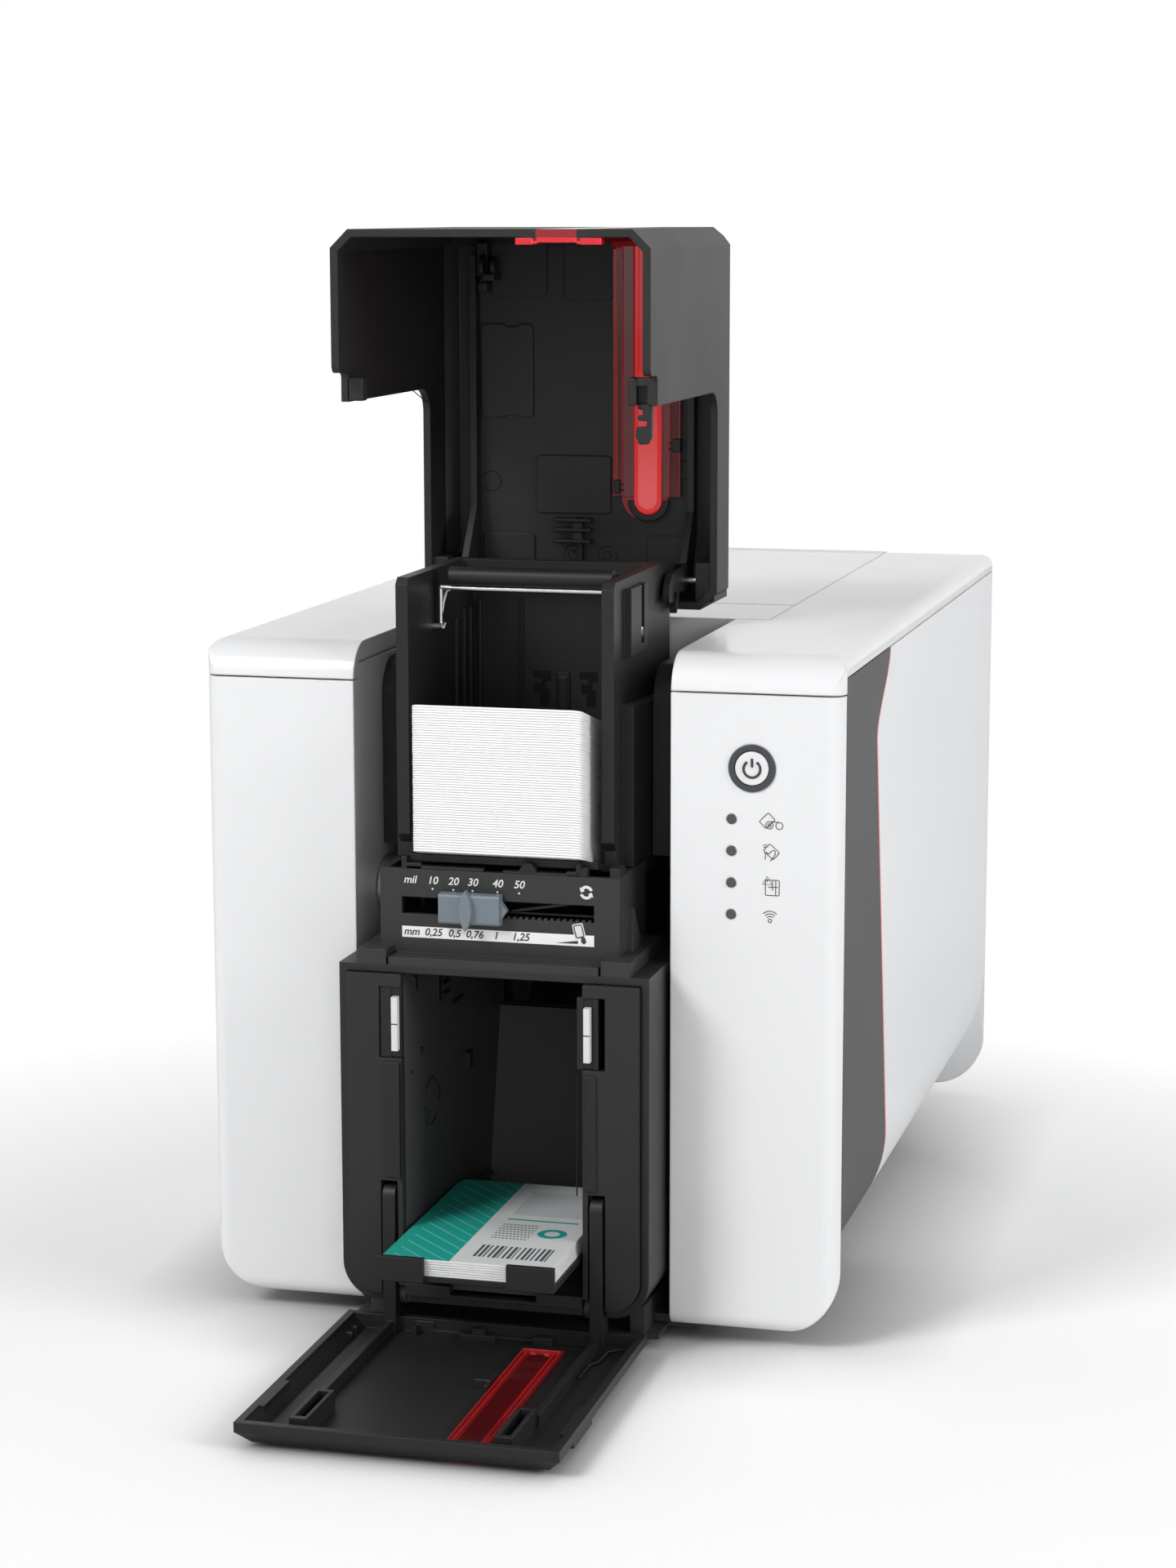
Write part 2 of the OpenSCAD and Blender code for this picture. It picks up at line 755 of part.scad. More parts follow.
// Bin for the finished cards: two sides, floor and leaning back
module hopper_bin() {
  y0 = face_t - face_y;
  top = hopper_top - wall;
  color("black") placed() {
    difference() {
      along_x(mouth_l - bin_wall, mouth_r + bin_wall) {
        polygon([
          [y0, hopper_z + wall], [bin_low_y + bin_wall, hopper_z + wall],
          [bin_high_y, bin_high_z], [bin_high_y, top], [y0, top]]);
        translate([-door_pivot_y, door_pivot_z]) circle(lug_r);
      }
      along_x(mouth_l, mouth_r) polygon([
        [y0 - past, bin_z], [bin_low_y, bin_z], [bin_high_y - bin_wall, bin_high_z - 5],
        [bin_high_y + past, bin_high_z - 5], [bin_high_y + past, top + past], [y0 - past, top + past]]);
      along_x(mouth_l, mouth_r) {
        area([-door_pivot_y - lug_r - past, 0], [bin_low_y - bin_wall, bin_z - bin_wall]);
        area([-door_pivot_y - lug_r - past, 0], [y0, bin_z + past]);
      }
      translate([0, -door_pivot_y, door_pivot_z])
        rod_x(mouth_l - bin_wall - past, mouth_r + bin_wall + past, door_pin_r);
    }
    // Ledges that carry the tray
    for (x = [mouth_l - touch, mouth_r - 2])
      box([x, y0 + 4, tray_top - tray_t - near - rest_t],
          [x + 2 + touch, bin_low_y - 2, tray_top - tray_t - near]);
  }
}
module door_magnets() {
  color("white") placed()
    for (x = catch_x)
      box([x, -face_y - magnet_proud, magnet_z], [x + magnet_w, face_t - face_y, magnet_z + magnet_h]);
}

// ---- Door, lying open ----
module door_block(t) {
  z0 = door_lift + t;
  z1 = door_top + (t > 0 ? past : 0);
  intersection() {
    along_y(t - door_front, -door_back - t)
      polygon(cut_area([trim_l + 1 + t, z0], [trim_r - 1 - t, z1], [door_bevel, door_bevel, 0, 0]));
    along_x(trim_l, trim_r)
      polygon(cut_area([t - door_front, z0], [-door_back - t, z1], [door_bevel, 0, 0, 0]));
  }
}
// Arm that stands on the open door
module door_arm(x) {
  y0 = -door_pivot_y - arm_front;
  y1 = -door_pivot_y + arm_behind;
  r = (y1 - y0)/2;
  along_x(x, x + arm_t) {
    area([y0, door_lift], [y1, arm_top - r]);
    translate([y0 + r, arm_top - r]) circle(r);
  }
}
module hopper_door() {
  color("black") placed() difference() {
    union() {
      difference() {
        door_block(0);
        door_block(wall);
      }
      for (x = [arm_l, arm_r]) {
        door_arm(x);
        box([x + arm_t/2 - 1, -catch_y0, door_skin - touch],
            [x + arm_t/2 + 1, -door_pivot_y - arm_front + touch, rail_top]);
      }
      // Slotted catches for the magnets
      for (x = catch_x)
        box([x - 1.7, -catch_y1, door_skin - touch], [x + magnet_w + 1.7, -catch_y0, catch_top]);
      // Thumb bumps on the two sides
      for (s = [-1, 1])
        translate([column_x + s*(column_w/2 - column_play - 1 - door_bevel), bump_r + bump_at - door_front, 0])
          intersection() {
            translate([0, 0, door_skin - touch]) cylinder(h = door_top - door_skin, r = bump_r);
            box([min(0, s*door_bevel), -bump_r, 0], [max(0, s*door_bevel), bump_r, door_top]);
          }
    }
    for (x = catch_x)
      box([x - 0.6, -catch_y1 + 2, door_skin + 0.6], [x + magnet_w + 0.6, -catch_y0 - 1.5, catch_top + past]);
    window_slot();
    for (x = [arm_l, arm_r])
      translate([0, -door_pivot_y, door_pivot_z]) rod_x(x - past, x + arm_t + past, door_pin_r + run);
  }
}
module window_slot() {
  box([window_x - window_w/2, -door_front + door_bevel, door_lift - past],
      [window_x + window_w/2, -window_back, door_skin + past]);
}
module door_window() {
  color("red") placed() {
    box([window_x - window_w/2, -door_front + door_bevel, door_lift],
        [window_x + window_w/2, -window_back, door_skin + touch]);
    box([window_x - window_w/2 - door_flange, -door_front + door_bevel + 1, door_skin],
        [window_x + window_w/2 + door_flange, -window_back + 2, door_skin + 1]);
  }
}
module door_pins() {
  color("silver") placed() translate([0, -door_pivot_y, door_pivot_z]) {
    rod_x(arm_l + 0.2, mouth_l - 0.2, door_pin_r);
    rod_x(mouth_r + 0.2, arm_r + arm_t - 0.2, door_pin_r);
  }
}

// ---- Tray and cards ----
module card_tray() {
  x0 = mouth_l + tray_play;
  x1 = mouth_r - tray_play;
  y1 = card_l - tray_front + lip_t + 3;
  color("black") placed() {
    box([x0, lip_t - tray_front, tray_top - tray_t], [x1, y1, tray_top]);
    for (x = [x0, x1 - lip_w])
      box([x, -tray_front, tray_top - tray_t],
          [x + lip_w, lip_t - tray_front + touch, tray_top + done_h + 2*near]);
  }
}
module card_area(y0) {
  soft_area([column_x - card_w/2, y0], [column_x + card_w/2, y0 + card_l], [card_r, card_r, card_r, card_r]);
}
module printed_cards() {
  color("white") placed() along_z(tray_top, tray_top + done_h) card_area(lip_t - tray_front + 0.2);
}
// Blank cards: a leaning pile whose front edges stay in one upright plane
module input_cards() {
  drop = slope*(stack_y1 + stack_reach);
  color("white") placed() intersection() {
    along_x(column_x - card_w/2, column_x + card_w/2) polygon([
      [-stack_reach, stack_z], [stack_y1, stack_z - drop],
      [stack_y1, stack_z - drop + stack_h], [-stack_reach, stack_z + stack_h]]);
    along_z(stack_z - drop - past, stack_z + stack_h + past)
      soft_area([column_x - card_w/2, -stack_reach], [column_x + card_w/2, stack_y1],
                [card_r, card_r, card_r, card_r]);
  }
}

// ---- Thickness gauge ----
module gauge_box() {
  front = -gauge_reach;
  color("black") placed() {
    difference() {
      box([gauge_l, front, gauge_z], [gauge_r, front + gauge_d, gauge_z + gauge_h]);
      box([gauge_l + wall, front + gauge_front_t, gauge_z + wall],
          [gauge_r - wall, front + gauge_d + past, gauge_z + gauge_h + past]);
      box([slot_x, front - past, slot_z], [slot_x + slot_l, front + gauge_front_t + past, slot_z + slot_h]);
      box([slot_x, front - past, label_z], [slot_x + slot_l, front + label_t, label_z + label_h]);
    }
    // Ledge on the hopper, with a raised wing at each end
    box([column_x - wing_in + wing_gap, -hopper_reach, hopper_top],
        [column_x + wing_in - wing_gap, front + gauge_d, gauge_z + touch]);
    for (s = [-1, 1]) {
      a = column_x + s*wing_in;
      b = column_x + s*wing_out;
      box([min(a, b), -hopper_reach, hopper_top], [max(a, b), front + gauge_d, gauge_z + wing_h]);
      // Curved fin between wing and box
      c = column_x + s*(gauge_w/2 - touch);
      d = column_x + s*(gauge_w/2 + fin_t);
      along_x(min(c, d), max(c, d)) polygon(concat(
        [[front + gauge_d, gauge_z], [fin_y, gauge_z]],
        [for (i = [0:fin_steps]) let (t = i/fin_steps)
          [fin_y + 3 + (front + gauge_d - fin_y - 3)*t, gauge_z + wing_h + (fin_h - wing_h)*pow(1 - t, 3)]]));
    }
    // Rack below the slot
    for (i = [0:rack_teeth - 1])
      box([slot_x + slot_l - 2*i - 2, front + near, slot_z - touch],
          [slot_x + slot_l - 2*i - 1, front + gauge_front_t - near, slot_z + 2*near]);
  }
}
module gauge_label() {
  color("white") placed()
    box([slot_x, -gauge_reach, label_z], [slot_x + slot_l, -gauge_reach + label_t, label_z + label_h]);
}
module thickness_slider() {
  front = -gauge_reach;
  z0 = slot_z - 1.8;
  inner = front + gauge_front_t + near;
  color("slategray") placed() {
    along_x(knob_x, knob_x + knob_w)
      soft_area([front - knob_d, z0], [front - near, z0 + knob_h], [1, 0, 0, 1]);
    // Pointer blade, and the arrow head at the knob's right end
    bow = (pow(pointer_w/2, 2) + pow(pointer_h/2, 2))/pointer_w;
    along_y(front - knob_d - pointer_out, front - knob_d + 1) translate([pointer_x, z0 + knob_h/2])
      intersection() {
        translate([bow - pointer_w/2, 0]) circle(bow);
        translate([pointer_w/2 - bow, 0]) circle(bow);
      }
    along_y(front - knob_d + 1, front - 1) translate([knob_x + knob_w - touch, z0 + knob_h/2])
      polygon([[0, -knob_h/3], [arrow_w, 0], [0, knob_h/3]]);
    // Neck in the slot and foot behind it
    box([pointer_x - 5, front - near - touch, slot_z + 3*near],
        [pointer_x + 5, inner + touch, slot_z + slot_h - near]);
    box([pointer_x - 7, inner, slot_z - 1.5], [pointer_x + 7, inner + 1.6, slot_z + slot_h + 1.5]);
  }
}
// Gate plate that lets one card at a time out of the feeder
module card_gate() {
  z0 = stack_under(feeder_back) + card_t + 0.6;
  color("silver") placed()
    box([column_x - gate_w/2, gate_y, z0], [column_x + gate_w/2, gate_y + gate_t, z0 + gate_h]);
}

// ---- Feeder ----
module feeder_side(x0, x1) {
  along_x(x0, x1) union() {
    polygon([
      [top_round - feeder_reach, feeder_h], [-feeder_reach, feeder_h - top_round],
      [-feeder_reach, stack_z + 3], [-feeder_reach + 3, stack_z],
      [-feeder_reach + 3, stack_under(-feeder_reach + 3) - near - floor_t],
      [gauge_d - gauge_reach, stack_under(gauge_d) - 6],
      [gauge_d - gauge_reach + near, hopper_top], [feeder_back + feeder_t, hopper_top],
      [feeder_back + feeder_t, lid_hinge_z - ear_r], [lid_hinge_y, lid_hinge_z - ear_r],
      [lid_hinge_y, lid_hinge_z + ear_r], [bar_y + bar_t + 2, feeder_h]]);
    translate([lid_hinge_y, lid_hinge_z]) circle(ear_r);
  }
}
module feeder_frame() {
  cheek_low = feed_z + feed_r + 3;
  color("black") placed() difference() {
    union() {
      feeder_side(wall_out_l, wall_in_l);
      feeder_side(wall_in_r, wall_out_r);
      // Sloping floor under the cards
      along_x(wall_in_l - touch, wall_in_r + touch) polygon([
        for (p = [[floor_y, near], [feeder_back, near],
                  [feeder_back, near + floor_t], [floor_y, near + floor_t]])
          [p[0], stack_under(p[0]) - p[1]]]);
      // Back wall above and below the way out
      box([wall_in_l - touch, feeder_back, hopper_top],
          [wall_in_r + touch, feeder_back + feeder_t, stack_under(feeder_back) - 0.5]);
      box([wall_in_l - touch, feeder_back, stack_under(feeder_back) + 2.4],
          [wall_in_r + touch, feeder_back + feeder_t, feeder_h - 12]);
      box([wall_in_l - touch, bar_y, feeder_h - bar_t], [wall_in_r + touch, bar_y + bar_t + 1, feeder_h]);
      // Guides of the gate
      for (s = [-1, 1])
        box([column_x + s*(gate_w/2 + 2) - 1.7, feeder_back + feeder_t - touch, stack_under(feeder_back) - 4],
            [column_x + s*(gate_w/2 + 2) + 1.7, gate_y + gate_t + 1, stack_under(feeder_back) + 30]);
      // Cheeks that widen the lower part of the two sides
      for (x = [[wall_out_l - cheek_t, wall_out_l + touch], [wall_out_r - touch, wall_out_r + cheek_t]])
        along_x(x[0], x[1]) polygon([
          [cheek_y, gauge_top + near], [gauge_back, gauge_top + near], [gauge_back, cheek_low],
          [gauge_back + 14, cheek_low], [gauge_back + 14, cheek_mid], [feeder_back, cheek_mid],
          [feeder_back, cheek_top - 3], [cheek_y + 18, cheek_top - 1.5], [cheek_y, cheek_top]]);
      // Boss with the slot beside the press wire's end
      box([wall_out_r - touch, press_y - 15, press_z - 6], [wall_out_r + boss_t, press_y + 6, press_z + 15]);
    }
    box([wall_out_r + 2*near, press_y - 2, press_z - 3.5],
        [wall_out_r + boss_t + past, press_y + 2, press_z + 16]);
    // Holes: press wire, lid hinge, feed roller and its slot in the floor
    translate([0, press_y, press_z]) {
      rod_x(wall_out_l - past, wall_in_l + past, press_pin_r + run);
      rod_x(wall_in_r - past, wall_out_r + boss_t + past, press_pin_r + run);
    }
    translate([0, lid_hinge_y, lid_hinge_z]) rod_x(wall_out_l - past, wall_out_r + past, lid_pin_d/2 + run);
    translate([0, feed_y, feed_z]) rod_x(wall_out_l - past, wall_out_r + past, shaft_d/2 + run);
    box([column_x - feed_w/2 - 1, feed_y - feed_r - 1.5, feed_z],
        [column_x + feed_w/2 + 1, feed_y + feed_r + 1.5, feed_z + 2.5*feed_r]);
  }
}
module side_guards() {
  color("black") placed()
    for (x = [[gap_l + near, column_x - guard_in], [column_x + guard_in, gap_r - near]])
      along_x(x[0], x[1])
        soft_area([guard_y, guard_z], [column_d - 4, guard_z + guard_h], [0, 0, guard_r, guard_r]);
}
// Hinged bail that weighs on the cards: a rounded bar on a bent wire
module press_bar() {
  color("black") placed() translate([0, press_y, press_bar_z]) rod_x(wall_in_l + 5.5, wall_in_r - 3, press_r);
}
module press_wire() {
  x0 = wall_in_l + 2.2;
  x1 = wall_in_r - 1.5;
  color("silver") placed() translate([0, press_y, 0]) {
    translate([0, 0, press_bar_z - press_r - wire_r]) rod_x(x0, x1, wire_r);
    for (x = [x0, x1]) {
      translate([x, 0, press_z]) cylinder(h = press_bar_z - press_r - wire_r - press_z, r = wire_r);
      translate([x, 0, press_bar_z - press_r - wire_r]) sphere(wire_r);
    }
    translate([0, 0, press_z]) {
      rod_x(wall_out_l, x0 + wire_r, press_pin_r);
      rod_x(x1 - wire_r, wall_out_r + boss_t - 0.4, press_pin_r);
    }
  }
}

// ---- Feeder lid, drawn closed and then swung open ----
module swung_open() {
  translate([0, lid_hinge_y, lid_hinge_z]) rotate([-90, 0, 0])
    translate([0, -lid_hinge_y, -lid_hinge_z]) children();
}
// Space filled by the lid when its outside is inset by t
module lid_space(t) {
  c = inside_bevel(bevel, t);
  z0 = lid_rim_z - (t > 0 ? past : 0);
  intersection() {
    along_y(t - lid_reach, lid_back - t)
      polygon(cut_area([trim_l + t, z0], [trim_r - t, lid_h - t], [0, 0, c, c]));
    along_x(trim_l, trim_r) polygon(cut_area([t - lid_reach, z0], [lid_back - t, lid_h - t], [0, 0, c, c]));
    along_z(z0, lid_h)
      polygon(cut_area([trim_l + t, t - lid_reach], [trim_r - t, lid_back - t], [c, c, c, c]));
  }
}
module lid_skin() {
  difference() {
    lid_space(0);
    lid_space(wall);
    along_x(trim_l - past, trim_r + past) {
      soft_area([lid_step_y, 0], [lid_back + past, skirt_z], [0, 0, 0, skirt_r]);
      // Notch in front of the tab on each side
      soft_area([lid_step_y - tab_w, 0], [lid_step_y + past, lid_rim_z + tab_y], [0, 0, 0, 2]);
      corner_bite([lid_step_y - tab_w, lid_rim_z], 90, notch_r);
    }
  }
}
// Space under and over the lid's light window, round at its rear end, with a flange on each side
module window_band(half, z0, flange) {
  along_z(z0, lid_h + past) {
    soft_area([lid_window_x - half, -lid_reach - past], [lid_window_x + half, lid_window_y + half],
              [0, 0, half - end_flat, half - end_flat]);
    if (flange > 0)
      area([lid_window_x - half - flange, -lid_reach - past], [lid_window_x + half + flange, lid_window_y]);
  }
}
module feeder_lid() {
  color("dimgray") placed() swung_open() difference() {
    union() {
      lid_skin();
      // Hinge blocks on the two side walls
      for (s = [-1, 1]) {
        x = column_x + s*hub_out;
        w = s*(column_w/2 - column_play - wall/2 - hub_out);
        box([min(x, x + w), lid_hinge_y - hub_r, lid_hinge_z - hub_r],
            [max(x, x + w), lid_back - wall + touch, lid_h - wall + touch]);
      }
    }
    window_band(lid_window_w/2, lid_rim_z - past, 0);
    translate([0, lid_hinge_y, lid_hinge_z]) {
      rod_x(trim_l + wall, column_x - hub_out + past, lid_pin_d/2);
      rod_x(column_x + hub_out - past, trim_r - wall, lid_pin_d/2);
    }
  }
}
// Curved arms inside the lid, outside the feeder walls; the hinge pins pass through them
module lid_arm() {
  top = lid_h - wall;
  difference() {
    union() {
      area([-lid_reach + 9, top - arm_rib], [lid_hinge_y - 14, top]);
      polygon([[lid_hinge_y - 16, top], [lid_hinge_y - 22, top - arm_rib],
               [lid_hinge_y - 6, lid_hinge_z - 3], [lid_hinge_y + 3, lid_hinge_z + 5]]);
      translate([lid_hinge_y, lid_hinge_z]) circle(arm_hub_r);
      area([lid_hinge_y - 4.5, lid_hinge_z - hook_h], [lid_hinge_y + 2.5, lid_hinge_z]);
      translate([lid_hinge_y + 2.5, lid_hinge_z - hook_h]) circle(hook_r);
    }
    translate([lid_hinge_y + 4.5, lid_hinge_z - hook_h + 1]) circle(hook_r - 4);
    area([lid_hinge_y + 4.5, lid_hinge_z - hook_h - 10], [lid_hinge_y + 12, lid_hinge_z - hook_h + 3]);
  }
}
module lid_arms() {
  out = wall_out_r - column_x + arm_plane;
  color("black") placed() swung_open() difference() {
    for (x = [column_x - out - lid_arm_t, column_x + out]) along_x(x, x + lid_arm_t) lid_arm();
    translate([0, lid_hinge_y, lid_hinge_z]) rod_x(trim_l, trim_r, lid_pin_d/2);
  }
}
module lid_window() {
  color("red") placed() swung_open() {
    intersection() {
      difference() { lid_space(0); lid_space(wall - touch); }
      window_band(lid_window_w/2, lid_rim_z - past, 0);
    }
    intersection() {
      difference() { lid_space(wall); lid_space(wall + window_t); }
      window_band(lid_window_w/2 + flange_gap, lid_rim_z + 1.5, flange_w);
    }
  }
}
module lid_hinge_pins() {
  color("silver") placed() translate([0, lid_hinge_y, lid_hinge_z])
    for (s = [-1, 1]) {
      a = column_x + s*(wall_in_r - column_x + 2*near);
      b = column_x + s*(column_w/2 - column_play - wall - 2*near);
      rod_x(min(a, b), max(a, b), lid_pin_d/2);
    }
}

// ---- Power button and lights ----
module power_button() {
  color("white") placed() translate([button_x, 0, button_z]) {
    rod_y(-0.3, cap_depth, ring_d/2 - near);
    rod_y(cap_depth - touch, board_y - button_travel - near, 1.5);
  }
}
module button_ring() {
  color("silver") placed() translate([button_x, 0, button_z]) difference() {
    rod_y(-0.5, wall + 1, ring_d/2 + ring_w);
    rod_y(-past, wall + 2, ring_d/2);
  }
}
module led_lenses() {
  color("lightblue") placed()
    for (i = [0:led_count - 1]) translate([led_x, 0, led_z - i*led_pitch]) rod_y(-0.3, board_y, led_d/2);
}
module panel_board() {
  color("green") placed()
    box([board_x[0] - board_rim, board_y, board_z[0] - board_rim],
        [board_x[1] + board_rim, board_y + board_t, board_z[1] + board_rim]);
}

// ---- Engine ----
module shaft_hole(y, z) {
  translate([0, y, z]) rod_x(plate_l - past, plate_r + plate_t + past, shaft_d/2 + run);
}
module engine_plate(x) {
  difference() {
    box([x, plate_y0, base_top], [x + plate_t, plate_y1, plate_top]);
    for (i = [0:3]) shaft_hole(roller_y + i*roller_pitch, roller_z);
    shaft_hole(supply_y, spool_z);
    shaft_hole(takeup_y, spool_z);
    for (y = [plate_y0 + 40, plate_y1 - 50], z = plate_window_z)
      translate([0, y, z]) rod_x(plate_l - past, plate_r + plate_t + past, plate_window_r);
  }
}
module left_engine_plate() {
  color("silver") placed() difference() {
    engine_plate(plate_l);
    translate([0, motor_y, roller_z]) rod_x(plate_l - past, plate_r, shaft_d/2 + motor_hole);
  }
}
module right_engine_plate() {
  color("silver") placed() {
    engine_plate(plate_r);
    for (y = post_y, z = post_z) translate([0, y, z]) rod_x(plate_r + plate_t - touch, main_x, spacer_r);
  }
}
// Roller with its shaft through both plates and a pulley at the left end
module roller(y, r) {
  end = 2;
  translate([0, y, roller_z]) {
    rod_x(plate_l + plate_t + end, plate_r - end, r);
    rod_x(belt_x, plate_r + plate_t + end, shaft_d/2);
    rod_x(belt_x, belt_x + belt_w, pulley_r);
  }
}
module entry_roller() { color("black") placed() roller(roller_y, roller_r); }
module cleaning_roller() { color("blue") placed() roller(roller_y + roller_pitch, roller_r); }
module platen_roller() { color("black") placed() roller(head_y, roller_r); }
module rear_roller() { color("black") placed() roller(roller_y + 3*roller_pitch, roller_r); }
module motor_pulley() {
  color("white") placed() translate([0, motor_y, roller_z]) {
    rod_x(belt_x, belt_x + belt_w, pulley_r);
    rod_x(belt_x, plate_l + plate_t + 6, shaft_d/2);
  }
}
module drive_motor() {
  x0 = plate_l + plate_t;
  color("silver") placed() difference() {
    box([x0, motor_y - motor_w/2, roller_z - motor_w/2],
        [x0 + motor_l, motor_y + motor_w/2, roller_z + motor_w/2]);
    translate([0, motor_y, roller_z]) rod_x(x0 - past, x0 + 7, shaft_d/2 + run);
  }
}
// Belt ring over all pulleys, which lie in one line
module belt_area(r) {
  translate([roller_y, roller_z]) circle(r);
  translate([motor_y, roller_z]) circle(r);
  area([roller_y, roller_z - r], [motor_y, roller_z + r]);
}
module drive_belt() {
  gap = 0.1;
  color("black") placed() along_x(belt_x, belt_x + belt_w) difference() {
    belt_area(pulley_r + gap + belt_t);
    belt_area(pulley_r + gap);
  }
}
module feed_roller() {
  color("dimgray") placed() translate([0, feed_y, feed_z]) {
    rod_x(column_x - feed_w/2, column_x + feed_w/2, feed_r);
    rod_x(wall_out_l - 6, wall_out_r + 1, shaft_d/2);
  }
}
module feed_motor() {
  color("silver") placed() translate([0, feed_y, feed_z]) difference() {
    rod_x(gap_l + near, wall_out_l, feed_motor_r);
    rod_x(wall_out_l - 7, wall_out_l + past, shaft_d/2 + run);
  }
}
// Print head hanging from a beam between the plates
module print_head() {
  z0 = film_z + film_t + near;
  z1 = z0 + head_tip_h;
  z2 = z0 + head_body_h;
  color("gray") placed() {
    box([plate_l + plate_t, head_y - beam_w/2, z2], [plate_r, head_y + beam_w/2, z2 + beam_t]);
    box([column_x - head_w/2, head_y - head_t/2, z1], [column_x + head_w/2, head_y + head_t/2, z2 + touch]);
    along_x(column_x - head_w/2, column_x + head_w/2) polygon([
      [head_y - head_t/2, z1 + touch], [head_y - head_t/4, z0], [head_y + head_t/4, z0],
      [head_y + head_t/2, z1 + touch]]);
  }
}
module spool(y, r) {
  translate([0, y, spool_z]) {
    rod_x(column_x - ribbon_w/2, column_x + ribbon_w/2, r);
    rod_x(plate_l - spool_end, plate_r + plate_t + spool_end, shaft_d/2);
    for (x = [column_x - ribbon_w/2 - rim_t, column_x + ribbon_w/2]) rod_x(x, x + rim_t, rim_r);
  }
}
module ribbon_supply() { color("navy") placed() spool(supply_y, supply_r); }
module ribbon_takeup() { color("navy") placed() spool(takeup_y, takeup_r); }
// Ribbon from the supply roll down under the head and up to the take-up roll
module ribbon_film() {
  a = supply_y + supply_r + near;
  b = takeup_y - takeup_r - near - film_t;
  t = film_t/2;
  low = spool_z - film_fall;
  color("purple") placed() along_x(column_x - ribbon_w/2, column_x + ribbon_w/2) polygon([
    [a, spool_z], [a, low], [head_y - film_flat, film_z],
    [head_y + film_flat, film_z], [b, low], [b, spool_z],
    [b + film_t, spool_z], [b + film_t, low - film_t], [head_y + film_flat + film_t, film_z - t],
    [head_y - film_flat - film_t, film_z - t], [a - t, low - film_t], [a - t, spool_z]]);
}

// Main board on four posts, with its connectors at the rear
module main_board() {
  x1 = main_x + main_board_t;
  color("green") placed() {
    box([main_x, plate_y0 + 12, main_z0], [x1, plate_y1 - 4, main_z1]);
    for (y = [plate_y0 + chip_w : chip_pitch : plate_y1 - 2*chip_w])
      box([x1 - touch, y, main_z0 + chip_w], [x1 + chip_t, y + chip_w, main_z0 + 2*chip_w]);
    for (y = [plate_y0 + can_pitch : can_pitch : plate_y1 - can_pitch])
      translate([0, y, main_z1 - can_pitch]) rod_x(x1 - touch, x1 + can_h, can_r);
  }
}
module power_socket() {
  x0 = socket_x - socket_w/2;
  z0 = socket_z;
  y0 = case_d - socket_d;
  color("black") placed() difference() {
    union() {
      box([x0 + run, y0, z0 + run], [x0 + socket_w - run, case_d - touch, z0 + socket_h - run]);
      box([x0 - 2, case_d - wall - 2, z0 - 2], [x0 + socket_w + 2, case_d - wall, z0 + socket_h + 2]);
    }
    box([x0 + 2, y0 + 4, z0 + 2], [x0 + socket_w - 2, case_d + past, z0 + socket_h - 2]);
  }
}
// Data sockets as [middle, width, height]
module data_ports() {
  color("silver") placed() for (p = ports) difference() {
    union() {
      box([p[0] - p[1]/2 + run, case_d - port_d, port_z + run],
          [p[0] + p[1]/2 - run, case_d - touch, port_z + p[2] - run]);
      box([p[0] - p[1]/2 - port_rim, case_d - wall - 2, port_z - port_rim],
          [p[0] + p[1]/2 + port_rim, case_d - wall, port_z + p[2] + port_rim]);
    }
    box([p[0] - p[1]/2 + port_t, case_d - port_d + 2*port_t, port_z + port_t],
        [p[0] + p[1]/2 - port_t, case_d + past, port_z + p[2] - port_t]);
  }
}

module case_screws() {
  color("silver") placed()
    for (x = screw_x, z = screw_z) translate([x, 0, z]) {
      rod_y(case_d - wall - screw_l, case_d + touch, screw_r);
      rod_y(case_d, case_d + head_h, head_r);
    }
}

base_tray();
feet();
left_front_panel();
right_front_panel();
left_top_shell();
right_top_shell();
left_side_panel();
right_side_panel();
left_accent_panel();
right_accent_panel();
accent_strips();
top_bridge();
rear_panel();
top_cover();
cover_hinge_pins();
hopper_shell();
hopper_face();
hopper_bin();
door_magnets();
hopper_door();
door_window();
door_pins();
card_tray();
printed_cards();
gauge_box();
gauge_label();
thickness_slider();
card_gate();
feeder_frame();
side_guards();
input_cards();
press_bar();
press_wire();
feeder_lid();
lid_arms();
lid_window();
lid_hinge_pins();
power_button();
button_ring();
led_lenses();
panel_board();
left_engine_plate();
right_engine_plate();
feed_roller();
feed_motor();
entry_roller();
cleaning_roller();
platen_roller();
rear_roller();
motor_pulley();
drive_motor();
drive_belt();
print_head();
ribbon_supply();
ribbon_takeup();
ribbon_film();
main_board();
power_socket();
data_ports();
case_screws();
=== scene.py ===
# %% [markdown]
# # Dressing a desktop card printer
# The printer's solids are already made and packed as a fixed frame: case halves, a dark column with the
# card feeder and its open lid, a thickness gauge, and a hopper whose door lies folded down on the table.
# This file adds what those solids leave out, which is finish, print, moulded detail and light.
# The frame is in metres, but people who draw plastic parts think in millimetres from one corner, so one
# small function does the conversion.

import math
import random

import bmesh
import bpy
from mathutils import Matrix, Vector


